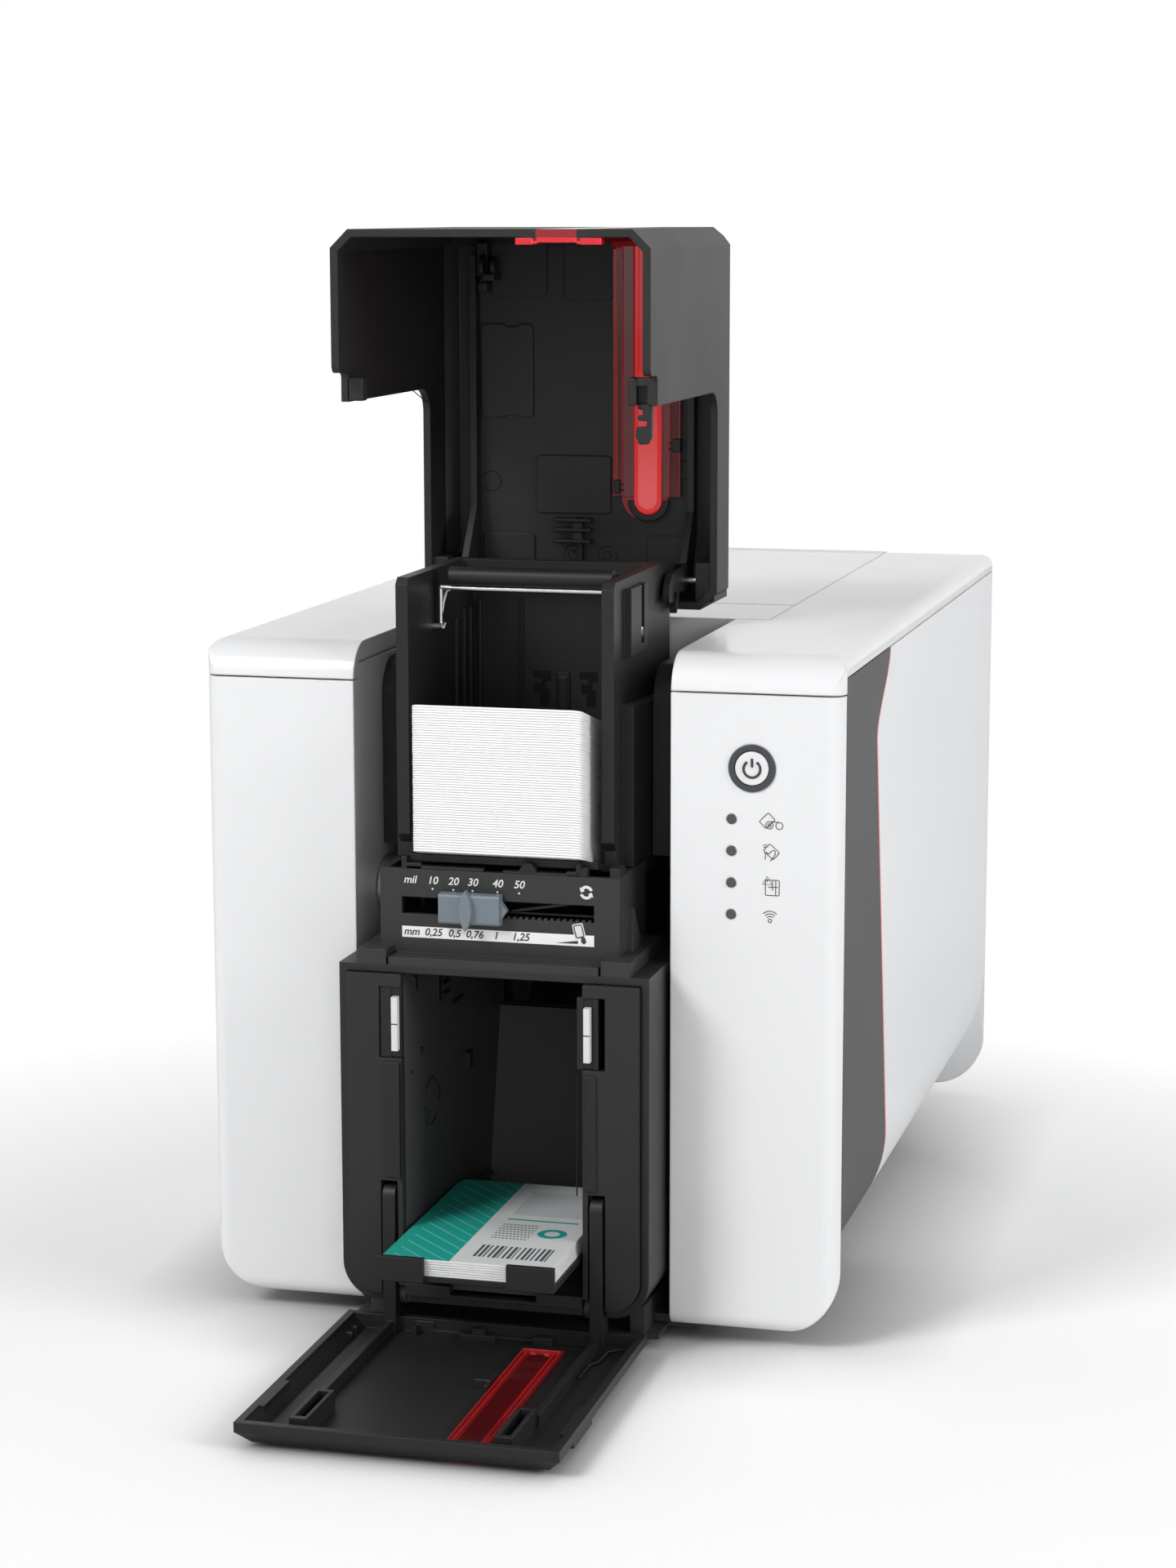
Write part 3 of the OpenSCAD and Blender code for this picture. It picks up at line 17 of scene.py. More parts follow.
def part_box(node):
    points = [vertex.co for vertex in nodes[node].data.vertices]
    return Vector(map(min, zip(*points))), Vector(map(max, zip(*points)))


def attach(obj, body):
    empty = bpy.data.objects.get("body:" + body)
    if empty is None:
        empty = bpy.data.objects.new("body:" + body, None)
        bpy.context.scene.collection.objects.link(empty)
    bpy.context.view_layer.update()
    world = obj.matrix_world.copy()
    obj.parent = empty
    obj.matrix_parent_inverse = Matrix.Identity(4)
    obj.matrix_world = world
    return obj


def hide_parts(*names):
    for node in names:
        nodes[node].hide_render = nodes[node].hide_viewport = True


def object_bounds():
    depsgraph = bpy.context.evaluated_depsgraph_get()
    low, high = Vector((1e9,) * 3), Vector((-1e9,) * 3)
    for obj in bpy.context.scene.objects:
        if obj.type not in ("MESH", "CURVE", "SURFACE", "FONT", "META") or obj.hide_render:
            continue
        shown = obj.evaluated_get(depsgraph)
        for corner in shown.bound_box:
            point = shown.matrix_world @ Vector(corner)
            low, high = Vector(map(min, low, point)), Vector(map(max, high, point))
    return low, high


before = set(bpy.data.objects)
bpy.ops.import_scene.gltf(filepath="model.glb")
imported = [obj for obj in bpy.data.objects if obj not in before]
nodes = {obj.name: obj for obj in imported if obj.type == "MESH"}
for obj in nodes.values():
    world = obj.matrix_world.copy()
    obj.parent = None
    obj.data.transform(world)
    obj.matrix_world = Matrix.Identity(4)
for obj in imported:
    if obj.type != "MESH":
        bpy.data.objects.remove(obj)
cad_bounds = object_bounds()
MM = 0.001
FRONT_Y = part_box("left_front_panel")[0].y


def at(x, y, z):
    """A place in millimetres: x from the case's middle, y from its white front, z from the table."""
    return Vector((x * MM, y * MM + FRONT_Y, z * MM))


print(len(nodes), "solids, front face at y =", round(FRONT_Y, 4))

# %% [markdown]
# ## The camera
# The photograph looks at the printer from the right of its middle and a little above, with a long lens.
# A camera could be aimed with a tracking constraint, but its turn and tilt are known from the edges of the
# case, so we build its three axes directly from those angles.

# %% Camera
CAMERA_AT = (281.9, -990.8, 351.9)
CAMERA_TURN = math.radians(14.655)
CAMERA_TILT = math.radians(9.69)
CAMERA_ROLL = math.radians(-0.09)
CAMERA_LENS = 77.37
SENSOR_W = 36
SIGHT_END = 20

forward = Vector((-math.sin(CAMERA_TURN) * math.cos(CAMERA_TILT),
                  math.cos(CAMERA_TURN) * math.cos(CAMERA_TILT),
                  -math.sin(CAMERA_TILT)))
right = Vector((math.cos(CAMERA_TURN), math.sin(CAMERA_TURN), 0))
axes = Matrix((right, right.cross(forward), -forward)).transposed()
camera_data = bpy.data.cameras.new("photo_camera")
camera_data.lens = CAMERA_LENS
camera_data.sensor_width = SENSOR_W
camera_data.clip_end = SIGHT_END
camera = bpy.data.objects.new("photo_camera", camera_data)
camera.matrix_world = (Matrix.Translation(at(*CAMERA_AT)) @ axes.to_4x4()
                       @ Matrix.Rotation(CAMERA_ROLL, 4, "Z"))
bpy.context.scene.collection.objects.link(camera)
bpy.context.scene.camera = camera
bpy.context.scene.view_settings.view_transform = "Standard"
print("camera", [round(v, 3) for v in camera.location], "lens", CAMERA_LENS)

# %% [markdown]
# ## Shader sums as plain Python
# A finish is a small graph of nodes. Wiring each Math node by hand hides the idea behind the cables, so a
# `Signal` wraps one socket and turns `a * 0.5 + b` into nodes. The reflected forms let `1 - mask` work too.
# Any other node comes from one method, `Finish.node`, which sets the node up and fills its sockets.


# %% Signal and Finish
class Signal:
    """A number that varies over a surface."""

    def __init__(self, finish, socket):
        self.finish, self.socket = finish, socket

    def math(self, operation, *values):
        made = self.finish.node("ShaderNodeMath", {"operation": operation}, dict(enumerate(values)))
        return Signal(self.finish, made.outputs[0])

    def __add__(self, other): return self.math("ADD", self, other)
    def __radd__(self, other): return self.math("ADD", other, self)
    def __sub__(self, other): return self.math("SUBTRACT", self, other)
    def __rsub__(self, other): return self.math("SUBTRACT", other, self)
    def __mul__(self, other): return self.math("MULTIPLY", self, other)
    def __rmul__(self, other): return self.math("MULTIPLY", other, self)
    def __truediv__(self, other): return self.math("DIVIDE", self, other)
    def __pow__(self, other): return self.math("POWER", self, other)
    def above(self, other): return self.math("GREATER_THAN", self, other)
    def below(self, other): return self.math("LESS_THAN", self, other)
    def higher(self, other): return self.math("MAXIMUM", self, other)
    def lower(self, other): return self.math("MINIMUM", self, other)
    def fraction(self): return self.math("FRACT", self)
    def wrapped(self, period): return self.math("FLOORED_MODULO", self, period)
    def between(self, low, high): return self.above(low) * self.below(high)
    def clamped(self): return self.higher(0.0).lower(1.0)
    def ranging(self, low, high): return self * (high - low) + low


class Finish:
    """A material, or another owner of a shader tree such as the world, under construction."""

    def __init__(self, name, owner=None):
        self.material = owner or bpy.data.materials.new(name)
        self.material.use_nodes = True
        self.tree = self.material.node_tree
        self.tree.nodes.clear()

    def node(self, kind, settings=None, sockets=None):
        made = self.tree.nodes.new(kind)
        for name, value in (settings or {}).items():
            setattr(made, name, value)
        for name, value in (sockets or {}).items():
            value = value.socket if isinstance(value, Signal) else value
            if isinstance(value, bpy.types.NodeSocket):
                self.tree.links.new(value, made.inputs[name])
            else:
                made.inputs[name].default_value = value
        return made

    def signal(self, kind, settings=None, sockets=None, output=0):
        return Signal(self, self.node(kind, settings, sockets).outputs[output])

    def position(self):
        return self.node("ShaderNodeTexCoord").outputs["Object"]

    def place(self, axis):
        """x, y or z of the surface point in millimetres, measured as at() does."""
        split = self.node("ShaderNodeSeparateXYZ", sockets={0: self.position()})
        value = Signal(self, split.outputs[axis])
        return (value - FRONT_Y) / MM if axis == "Y" else value / MM

    def noise(self, size):
        """Noise whose blobs are about size millimetres wide, running from 0 to 1."""
        return self.signal("ShaderNodeTexNoise", None,
                           {"Vector": self.position(), "Scale": 1 / (size * MM), "Detail": 2})

    def ray(self, kind):
        """1 for rays of one kind, such as those that the camera sees."""
        return self.signal("ShaderNodeLightPath", output="Is %s Ray" % kind)

    def blend(self, mask, low, high):
        """The colour low where mask is 0 and high where it is 1."""
        low, high = (end if isinstance(end, bpy.types.NodeSocket) else (*end, 1) for end in (low, high))
        return self.node("ShaderNodeMix", {"data_type": "RGBA"}, {0: mask, 6: low, 7: high}).outputs[2]

    def soft_edge(self, radius):
        """Normals that bend round every edge, as if it had this radius in millimetres."""
        return self.node("ShaderNodeBevel", {"samples": 4}, {"Radius": radius * MM}).outputs[0]

    def bumps(self, height, strength, depth, normal=None):
        """Normals of small bumps up to depth millimetres high, laid over other normals if given."""
        sockets = {"Strength": strength, "Distance": depth * MM, "Height": height}
        if normal:
            sockets["Normal"] = normal
        return self.node("ShaderNodeBump", None, sockets).outputs[0]

    def shine(self, **sockets):
        """Ends the material with the main shader."""
        names = {name.replace("_", " "): value for name, value in sockets.items()}
        shader = self.node("ShaderNodeBsdfPrincipled", sockets=names)
        self.node("ShaderNodeOutputMaterial", sockets={"Surface": shader.outputs[0]})
        return self.material


print("shader helpers ready")

# %% [markdown]
# ## Moulded plastic
# Nearly everything here is injection moulded. Real mouldings have three things in common: a very small
# radius on every edge, a fine grain from the tool, and a gloss that wanders slightly over the surface.
# The edge radius could be modelled, but on sixty solids it is cheaper to let a Bevel node bend the normals
# along each edge. The grain is a Bump from fine noise, and the wandering gloss is slow noise on Roughness.

# %% Plastic finishes
CLOUD_SIZE = 38
GRAIN_SIZE, GRAIN_DEPTH = 0.5, 0.03
GLOSS_DRIFT = 0.06


def scaled(colour, share):
    return tuple(c * share for c in colour)


def moulded(name, colour, roughness, grain=0.3, edge=0.5, tint=0.06, **extra):
    """Plastic with edges of the radius edge and darker clouds, which are tint darker than colour."""
    f = Finish(name)
    slow = f.noise(CLOUD_SIZE)
    normal = f.bumps(f.noise(GRAIN_SIZE), grain, GRAIN_DEPTH, f.soft_edge(edge))
    return f.shine(Base_Color=f.blend(slow, scaled(colour, 1 - tint), colour),
                   Roughness=slow.ranging(roughness - GLOSS_DRIFT, roughness + GLOSS_DRIFT),
                   Normal=normal, **extra)


dull = {"Specular_IOR_Level": 0.3}
white_case = moulded("white_case", (0.84, 0.843, 0.85), 0.2, grain=0.03, edge=0.9, tint=0.02)
grey_case = moulded("grey_case", (0.82, 0.825, 0.84), 0.36, grain=0.12, edge=0.8, tint=0.03)
accent_grey = moulded("accent_grey", (0.062, 0.062, 0.063), 0.55, grain=0.25, edge=0.5, **dull)
black_plastic = moulded("black_plastic", (0.0125, 0.0125, 0.0128), 0.46, grain=0.45, edge=0.45, **dull)
charcoal = moulded("charcoal_plastic", (0.016, 0.016, 0.0163), 0.5, grain=0.6, edge=0.6, **dull)
slider_grey = moulded("slider_grey", (0.17, 0.205, 0.235), 0.35, grain=0.1, edge=0.4)
hopper_black = moulded("hopper_black", (0.019, 0.019, 0.0193), 0.42, grain=0.45, edge=0.45, **dull)
bin_black = moulded("bin_black", (0.06, 0.06, 0.0605), 0.5, grain=0.4, edge=0.3, **dull)
gauge_black = moulded("gauge_black", (0.032, 0.032, 0.0324), 0.4, grain=0.5, edge=0.3, **dull)
base_black = moulded("base_black", (0.02, 0.02, 0.021), 0.6, grain=0.5)
magnet_white = moulded("magnet_white", (0.74, 0.74, 0.73), 0.38, grain=0.1, edge=0.2)
button_white = moulded("button_white", (0.84, 0.842, 0.85), 0.3, grain=0.05, edge=0.6)
print("plastics:", len(bpy.data.materials))

# %% [markdown]
# ## Clear red
# The red windows glow because light comes through them. Real transmission would be honest but noisy in so
# thin a part, so a clear coat lies over a body with a painted glow: it gives off a little of its own colour,
# more where we look straight at it than where it turns away, in place of the light that comes through.


# %% Clear red finishes
def clear_red(name, deep, lit, painted_glow, strength):
    """Clear red plastic with a painted glow: deep and lit are its two body colours, glow is the light that it
    gives off.
    """
    f = Finish(name)
    edge = f.signal("ShaderNodeLayerWeight", None, {"Blend": 0.4}, "Facing")
    cloud = f.noise(14)
    # The emission is a painted glow: full where the surface faces us, less where it turns away.
    return f.shine(Base_Color=f.blend(cloud, deep, lit), Roughness=cloud.ranging(0.08, 0.14),
                   Coat_Weight=edge.ranging(0.1, 0.3), Emission_Strength=strength,
                   Emission_Color=f.blend(edge, painted_glow, scaled(painted_glow, 0.4)))


red_clear = clear_red("red_clear", (0.30, 0.003, 0.008), (0.80, 0.02, 0.035), (0.55, 0.004, 0.012), 0.32)
red_window = clear_red("red_window", (0.18, 0.005, 0.007), (0.26, 0.009, 0.011), (0.16, 0.006, 0.007), 0.3)
deep_red_and_painted_shade = clear_red("deep_red_and_painted_shade", (0.055, 0.004, 0.005), (0.085, 0.006, 0.008), (0.07, 0.006, 0.007), 0.25)
red_smoke = clear_red("red_smoke", (0.10, 0.022, 0.022), (0.14, 0.032, 0.032), (0.10, 0.03, 0.03), 0.35)
red_edge = clear_red("red_edge", (0.75, 0.03, 0.03), (0.85, 0.05, 0.05), (0.8, 0.06, 0.06), 0.4)
red_line = clear_red("red_line", (0.25, 0.012, 0.014), (0.35, 0.02, 0.022), (0.3, 0.01, 0.012), 0.35)
print("reds ready, finishes so far:", len(bpy.data.materials))

# %% [markdown]
# ## Metal, rubber, cards and boards
# Brushed steel gets streaks by stretching the noise along one axis. Rubber is dusty, card stock is smooth
# with faint flecks, and the boards and the ribbon get simple patterns in real sizes.

# %% Other finishes
STREAKS_PER_MM, STREAK_GLOSS = 2.4, 0.12


def metal(name, colour, roughness, along=(1, 1, 1)):
    """Metal with streaks, which are long on the axes where along is small."""
    f = Finish(name)
    stretched = f.node("ShaderNodeVectorMath", {"operation": "MULTIPLY"}, {0: f.position(), 1: along})
    streaks = f.signal("ShaderNodeTexNoise", None,
                       {"Vector": stretched.outputs[0], "Scale": STREAKS_PER_MM / MM, "Detail": 3})
    normal = f.bumps(streaks, strength=0.08, depth=0.02, normal=f.soft_edge(0.3))
    return f.shine(Base_Color=f.blend(streaks, scaled(colour, 0.82), colour), Metallic=1.0,
                   Roughness=streaks.ranging(roughness, roughness + STREAK_GLOSS), Normal=normal)


def rubber(name, colour):
    f = Finish(name)
    dust = f.noise(6)
    normal = f.bumps(f.noise(0.8), strength=0.4, depth=0.05)
    pale = tuple(c * 1.6 + 0.004 for c in colour)
    return f.shine(Base_Color=f.blend(dust, colour, pale), Roughness=dust.ranging(0.62, 0.77), Normal=normal)


def card_stock(name, colour):
    f = Finish(name)
    fleck = f.noise(9)
    colour = f.blend(fleck, scaled(colour, 0.97), colour)
    return f.shine(Base_Color=colour, Roughness=fleck.ranging(0.28, 0.36))


def board():
    """A circuit board with tracks 0.35 mm wide along it, others across it, and tinned pads."""
    f = Finish("board_green")
    lanes = f.place("Y").wrapped(2.6).between(0, 0.35)
    rows = f.place("Z").wrapped(3.4).between(0, 0.3)
    pads = (f.noise(4) - 0.62).above(0)
    colour = f.blend(lanes + rows, (0.006, 0.075, 0.03), (0.012, 0.13, 0.055))
    colour = f.blend(pads, colour, (0.5, 0.48, 0.4))
    return f.shine(Base_Color=colour, Roughness=f.noise(3).ranging(0.3, 0.5))


def ribbon():
    """Dark film with a warmer panel every 22 mm."""
    f = Finish("ribbon_dark")
    panel = f.place("Z").wrapped(22).between(0, 7)
    colour = f.blend(panel, (0.012, 0.006, 0.03), (0.05, 0.02, 0.002))
    return f.shine(Base_Color=colour, Roughness=f.noise(5).ranging(0.16, 0.26), Coat_Weight=0.4)


steel = metal("steel", (0.72, 0.72, 0.73), 0.14, along=(0.1, 1, 1))
sheet_steel = metal("sheet_steel", (0.5, 0.51, 0.52), 0.3, along=(1, 0.15, 1))
motor_metal = metal("motor_metal", (0.42, 0.42, 0.44), 0.4)
ring_metal = metal("ring_metal", (0.085, 0.09, 0.095), 0.4)
black_rubber = rubber("black_rubber", (0.012, 0.012, 0.012))
blue_rubber = rubber("blue_rubber", (0.02, 0.1, 0.34))
card_white = card_stock("card_white", (0.93, 0.93, 0.93))
lens_clear = moulded("lens_clear", (0.045, 0.047, 0.052), 0.18, grain=0.0, Coat_Weight=0.6)
board_green = board()
ribbon_dark = ribbon()
print("finishes:", len(bpy.data.materials))

# %% [markdown]
# ## A finish for every solid
# The list goes by finish, as a moulder's order does.

# %% Give every solid its finish
finish_of = {
    white_case: "left_front_panel right_front_panel left_top_shell right_top_shell top_bridge top_cover",
    grey_case: "left_side_panel right_side_panel rear_panel",
    accent_grey: "left_accent_panel right_accent_panel",
    red_edge: "accent_strips",
    red_window: "door_window lid_window",
    black_plastic: "hopper_door card_tray feeder_frame side_guards press_bar lid_arms power_socket",
    hopper_black: "hopper_shell hopper_face",
    bin_black: "hopper_bin",
    gauge_black: "gauge_box",
    base_black: "base_tray",
    charcoal: "feeder_lid",
    slider_grey: "thickness_slider",
    steel: "cover_hinge_pins door_pins lid_hinge_pins press_wire case_screws",
    sheet_steel: "card_gate left_engine_plate right_engine_plate data_ports",
    motor_metal: "feed_motor drive_motor print_head",
    ring_metal: "button_ring",
    magnet_white: "door_magnets motor_pulley",
    button_white: "power_button",
    card_white: "gauge_label input_cards printed_cards",
    black_rubber: "feed_roller entry_roller platen_roller rear_roller drive_belt feet",
    blue_rubber: "cleaning_roller",
    lens_clear: "led_lenses",
    board_green: "panel_board main_board",
    ribbon_dark: "ribbon_supply ribbon_takeup ribbon_film",
}
for material, names in finish_of.items():
    for name in names.split():
        mesh = nodes[name].data
        mesh.materials.clear()
        mesh.materials.append(material)
bare = sorted(set(nodes) - set(" ".join(finish_of.values()).split()))
print("solids without a finish:", bare)

# %% [markdown]
# ## Three ways to make a small piece
# Moulded detail comes down to three shapes. A block with softened edges makes ribs, clips and catches. A
# round wire along a path makes raised outlines, symbols and springs. A slab is any outline with thickness.
# Each helper leaves its piece riding on the body that carries it, so that a lid takes its ribs along.


# %% Piece helpers
def publish(name, data, material, body):
    """Puts a mesh or curve into the scene with its material, riding on the body."""
    piece = bpy.data.objects.new(name, data)
    bpy.context.scene.collection.objects.link(piece)
    data.materials.append(material)
    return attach(piece, body)


def mesh_from(bm, name):
    bmesh.ops.recalc_face_normals(bm, faces=bm.faces)
    mesh = bpy.data.meshes.new(name)
    bm.to_mesh(mesh)
    bm.free()
    return mesh


def soften(bm, edge):
    bmesh.ops.bevel(bm, geom=list(bm.edges), offset=edge * MM, segments=2, profile=0.5, affect="EDGES")


def blocks(name, corners, material, body, edge):
    """Blocks between pairs of corners in millimetres, all edges softened."""
    bm = bmesh.new()
    for low, high in corners:
        a, b = at(*low), at(*high)
        for vertex in bmesh.ops.create_cube(bm, size=1)["verts"]:
            vertex.co = Vector([(a[i] + b[i]) / 2 + vertex.co[i] * (b[i] - a[i]) for i in range(3)])
    soften(bm, edge)
    return publish(name, mesh_from(bm, name), material, body)


def wires(name, paths, radius, material, body, closed=True):
    """Round wires along paths of points in millimetres."""
    curve = bpy.data.curves.new(name, "CURVE")
    curve.dimensions = "3D"
    curve.bevel_depth = radius * MM
    curve.bevel_resolution = 3
    curve.use_fill_caps = True
    for path in paths:
        spline = curve.splines.new("POLY")
        spline.points.add(len(path) - 1)
        for point, place in zip(spline.points, path):
            point.co = (*at(*place), 1)
        spline.use_cyclic_u = closed
    return publish(name, curve, material, body)


def slab(name, outlines, thickness, material, body, edge=0.0):
    """Outlines of points in millimetres, each thickened along the vector thickness."""
    bm = bmesh.new()
    for outline in outlines:
        face = bm.faces.new([bm.verts.new(at(*p)) for p in outline])
        pushed = bmesh.ops.extrude_face_region(bm, geom=[face])["geom"]
        for vertex in [g for g in pushed if isinstance(g, bmesh.types.BMVert)]:
            vertex.co += Vector(thickness) * MM
    if edge:
        bmesh.ops.recalc_face_normals(bm, faces=bm.faces)
        soften(bm, edge)
    return publish(name, mesh_from(bm, name), material, body)


print("piece helpers ready")

# %% [markdown]
# ## Outlines
# Circles, arcs and round-cornered rectangles are plain lists of points in a plane, which can be turned and
# moved about, until a small function says which way their plane faces.


# %% Outline helpers
def polar(centre, radius, degrees):
    turn = math.radians(degrees)
    return (centre[0] + radius * math.cos(turn), centre[1] + radius * math.sin(turn))


def arc(centre, radius, start, end, steps):
    """Points on an arc in the plane, angles in degrees."""
    return [polar(centre, radius, start + (end - start) * i / steps) for i in range(steps + 1)]


def ring(centre, radius, steps=24, end=345):
    """Points round a circle, whose last gap a closed outline bridges."""
    return arc(centre, radius, 0, end, steps)


def dot(centre, radius):
    """A ring of twelve points, enough for a mark that is under 2 mm wide."""
    return ring(centre, radius, 11, 330)


def rounded(u0, v0, u1, v1, r, steps):
    """Outline of a rectangle with round corners."""
    corners = ((u1 - r, v1 - r, 0), (u0 + r, v1 - r, 90), (u0 + r, v0 + r, 180), (u1 - r, v0 + r, 270))
    return [p for u, v, turn in corners for p in arc((u, v), r, turn, turn + 90, steps)]


def turned(points, degrees):
    """Points turned about the origin of their plane."""
    turn = math.radians(degrees)
    return [(u * math.cos(turn) - v * math.sin(turn), u * math.sin(turn) + v * math.cos(turn))
            for u, v in points]


def shifted(points, centre):
    return [(u + centre[0], v + centre[1]) for u, v in points]


def facing_front(y, points):
    """Plane points as places on a wall at depth y."""
    return [(u, y, v) for u, v in points]


def facing_side(x, points):
    return [(x, u, v) for u, v in points]


def lying(z, points):
    return [(u, v, z) for u, v in points]


def plaque(name, y, outlines, depth, material, body, edge=0.0):
    """Slabs on a wall that faces the front at y, depth millimetres out of it, or into it if below 0."""
    return slab(name, [facing_front(y, p) for p in outlines], (0, -depth, 0), material, body, edge)


def front_wires(name, y, paths, radius, material, body, closed=True):
    """Wires on a wall that faces the front at y."""
    return wires(name, [facing_front(y, p) for p in paths], radius, material, body, closed)


print("outline helpers ready")

# %% [markdown]
# ## The blank cards
# The feeder holds a tall pile of white cards. As one block it would look like paper, so each card is its
# own thin plate with round corners. The pile leans: every card slopes down towards the back, yet the front
# edges stay in one upright plane, because the cards slide down against the feeder's back wall. A seeded
# shiver of a few hundredths of a millimetre lets single cards catch the light.

# %% Blank cards in the feeder
CARD_W, CARD_L, CARD_T, CARD_R = 54.0, 85.6, 0.76, 3.2
CARD_RIM = 0.1
COLUMN_X = -2.0
CARD_LEFT = COLUMN_X - CARD_W / 2
LEAN = math.radians(15)
BLANKS = 58
BLANK_FRONT_Y, BLANK_LOW_Z = -18.0, 157.0
chance = random.Random(7)


def card_plates(name, cards, thickness, material, body):
    """cards are (origin, direction along the card, upward normal) in millimetres."""
    bm = bmesh.new()
    layer = bm.loops.layers.uv.new("print")
    outline = rounded(0, 0, CARD_W, CARD_L, CARD_R, 5)
    levels = ((0, CARD_RIM), (CARD_RIM, 0), (thickness - CARD_RIM, 0), (thickness, CARD_RIM))
    for origin, along, up in cards:
        rings = []
        for lift, inset in levels:
            level = []
            for u, v in outline:
                u2 = u + inset * (1 - 2 * u / CARD_W)
                v2 = v + inset * (1 - 2 * v / CARD_L)
                place = Vector(origin) + Vector((u2, 0, 0)) + Vector(along) * v2 + Vector(up) * lift
                level.append(bm.verts.new(at(*place)))
            rings.append(level)
        faces = [bm.faces.new(rings[0][::-1]), bm.faces.new(rings[-1])]
        for a, b in zip(rings, rings[1:]):
            for i in range(len(a)):
                j = (i + 1) % len(a)
                faces.append(bm.faces.new((a[i], a[j], b[j], b[i])))
        for loop, (u, v) in zip(faces[1].loops, outline):
            loop[layer].uv = (u / CARD_W, v / CARD_L)
    return publish(name, mesh_from(bm, name), material, body)


sloped = (0, math.cos(LEAN), -math.sin(LEAN))
square_to_it = (0, math.sin(LEAN), math.cos(LEAN))
pitch = CARD_T / math.cos(LEAN)
pile = [((CARD_LEFT + chance.uniform(-0.05, 0.05), BLANK_FRONT_Y + chance.uniform(0, 0.05),
          BLANK_LOW_Z + i * pitch), sloped, square_to_it) for i in range(BLANKS)]
blank_cards = card_plates("blank_cards", pile, CARD_T - 0.06, card_white, "case")
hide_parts("input_cards")
print("blank cards:", BLANKS, "pile height", round(BLANKS * pitch, 1), "mm")

# %% [markdown]
# ## The printed cards
# Finished cards lie in the tray. Their print could be an image, but a card is simple enough to be drawn by
# sums: the top face carries coordinates from 0 to 1 across and along the card, and every bar, band and
# stripe is a comparison on them. The design is a plain one: a teal band with slanted pale lines along the
# left edge, an empty grey window, a ring, a bar code, and rows of small bars where words would stand.

# %% Card print
PAPER = (0.80, 0.81, 0.81)
TEAL = (0.02, 0.40, 0.33)
PALE_TEAL = (0.12, 0.55, 0.48)
DARK_TEAL = (0.02, 0.42, 0.36)
WINDOW_GREY = (0.62, 0.66, 0.67)
CARD_INK = (0.10, 0.11, 0.12)
CARD_SIDE = (0.8, 0.8, 0.8)
PRINT_LEFT, PRINT_RIGHT = 0.50, 0.93


def card_print():
    """The print, by u across the card from its left edge and v along it from its front edge."""
    f = Finish("card_print")
    uv = f.node("ShaderNodeUVMap", {"uv_map": "print"})
    split = f.node("ShaderNodeSeparateXYZ", sockets={0: uv.outputs[0]})
    u, v = Signal(f, split.outputs[0]), Signal(f, split.outputs[1])
    on_top = (u + v).above(0.001)
    panel = u.below(0.40)
    pale_line = (v * 1.6 + u).wrapped(0.125).below(0.018) * panel * u.above(0.06)
    column = u.between(PRINT_LEFT, PRINT_RIGHT)
    window = column * v.between(0.60, 0.90)
    rule = column * v.between(0.535, 0.55)
    reach = ((u - 0.83) ** 2.0 * 0.4 + (v - 0.40) ** 2.0) ** 0.5
    badge = reach.between(0.028, 0.055)
    bars = (u * 36.0).fraction().below((u * 11.0).fraction() * 0.5 + 0.25)
    code = column * v.between(0.08, 0.22) * bars
    line = (v * 36.0).fraction().below(0.45)
    letters = (u * 46.0 + v * 19.0).fraction().below(0.7)
    words = u.between(PRINT_LEFT, 0.72) * v.between(0.29, 0.49) * line * letters
    colour = f.blend(panel, PAPER, TEAL)
    colour = f.blend(pale_line, colour, PALE_TEAL)
    colour = f.blend(window, colour, WINDOW_GREY)
    colour = f.blend((rule + badge).lower(1.0), colour, DARK_TEAL)
    colour = f.blend((code + words * 0.8).lower(1.0), colour, CARD_INK)
    colour = f.blend(on_top, CARD_SIDE, colour)
    return f.shine(Base_Color=colour, Roughness=f.noise(12).ranging(0.22, 0.28))


PRINTED = 7
TRAY_TOP_Z, PRINTED_FRONT_Y = 32.5, -52.0
flat = [((CARD_LEFT + chance.uniform(-0.15, 0.15), PRINTED_FRONT_Y + chance.uniform(0, 0.2),
          TRAY_TOP_Z + i * CARD_T), (0, 1, 0), (0, 0, 1)) for i in range(PRINTED)]
finished_cards = card_plates("finished_cards", flat, CARD_T - 0.1, card_print(), "tray")
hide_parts("printed_cards")
print("finished cards:", PRINTED)

# %% [markdown]
# ## The scale of the thickness gauge
# The slider points at two printed scales, one in thousandths of an inch above the slot and one in
# millimetres on the white strip below. Numbers on a dial are real text objects, sheared a little as the
# printed ones are, and thick enough (0.06 mm) not to flicker against the plastic.

# %% Gauge numbers
ink_white = moulded("ink_white", (0.78, 0.78, 0.78), 0.5, grain=0.0, edge=0.05)
ink_dark = moulded("ink_dark", (0.03, 0.032, 0.035), 0.5, grain=0.0, edge=0.05)
GAUGE_Y = -14.0
PRINT_Y = GAUGE_Y - 0.02
PRINT_THICK = 0.05
UPPER_Z, LOWER_Z, DOT_Z = 147.1, 130.7, 144.5
NUMBER_SHEAR, NUMBER_BOLD, NUMBER_HALF_THICK = 0.22, 0.05, 0.03
UPPER_SCALE = (("mil", -30.6), ("10", -23.3), ("20", -16.6), ("30", -10.4), ("40", -2.4), ("50", 4.5))
LOWER_SCALE = (("mm", -30.2), ("0,25", -23.2), ("0,5", -16.4), ("0,76", -9.9), ("1", -3.0), ("1,25", 4.9))


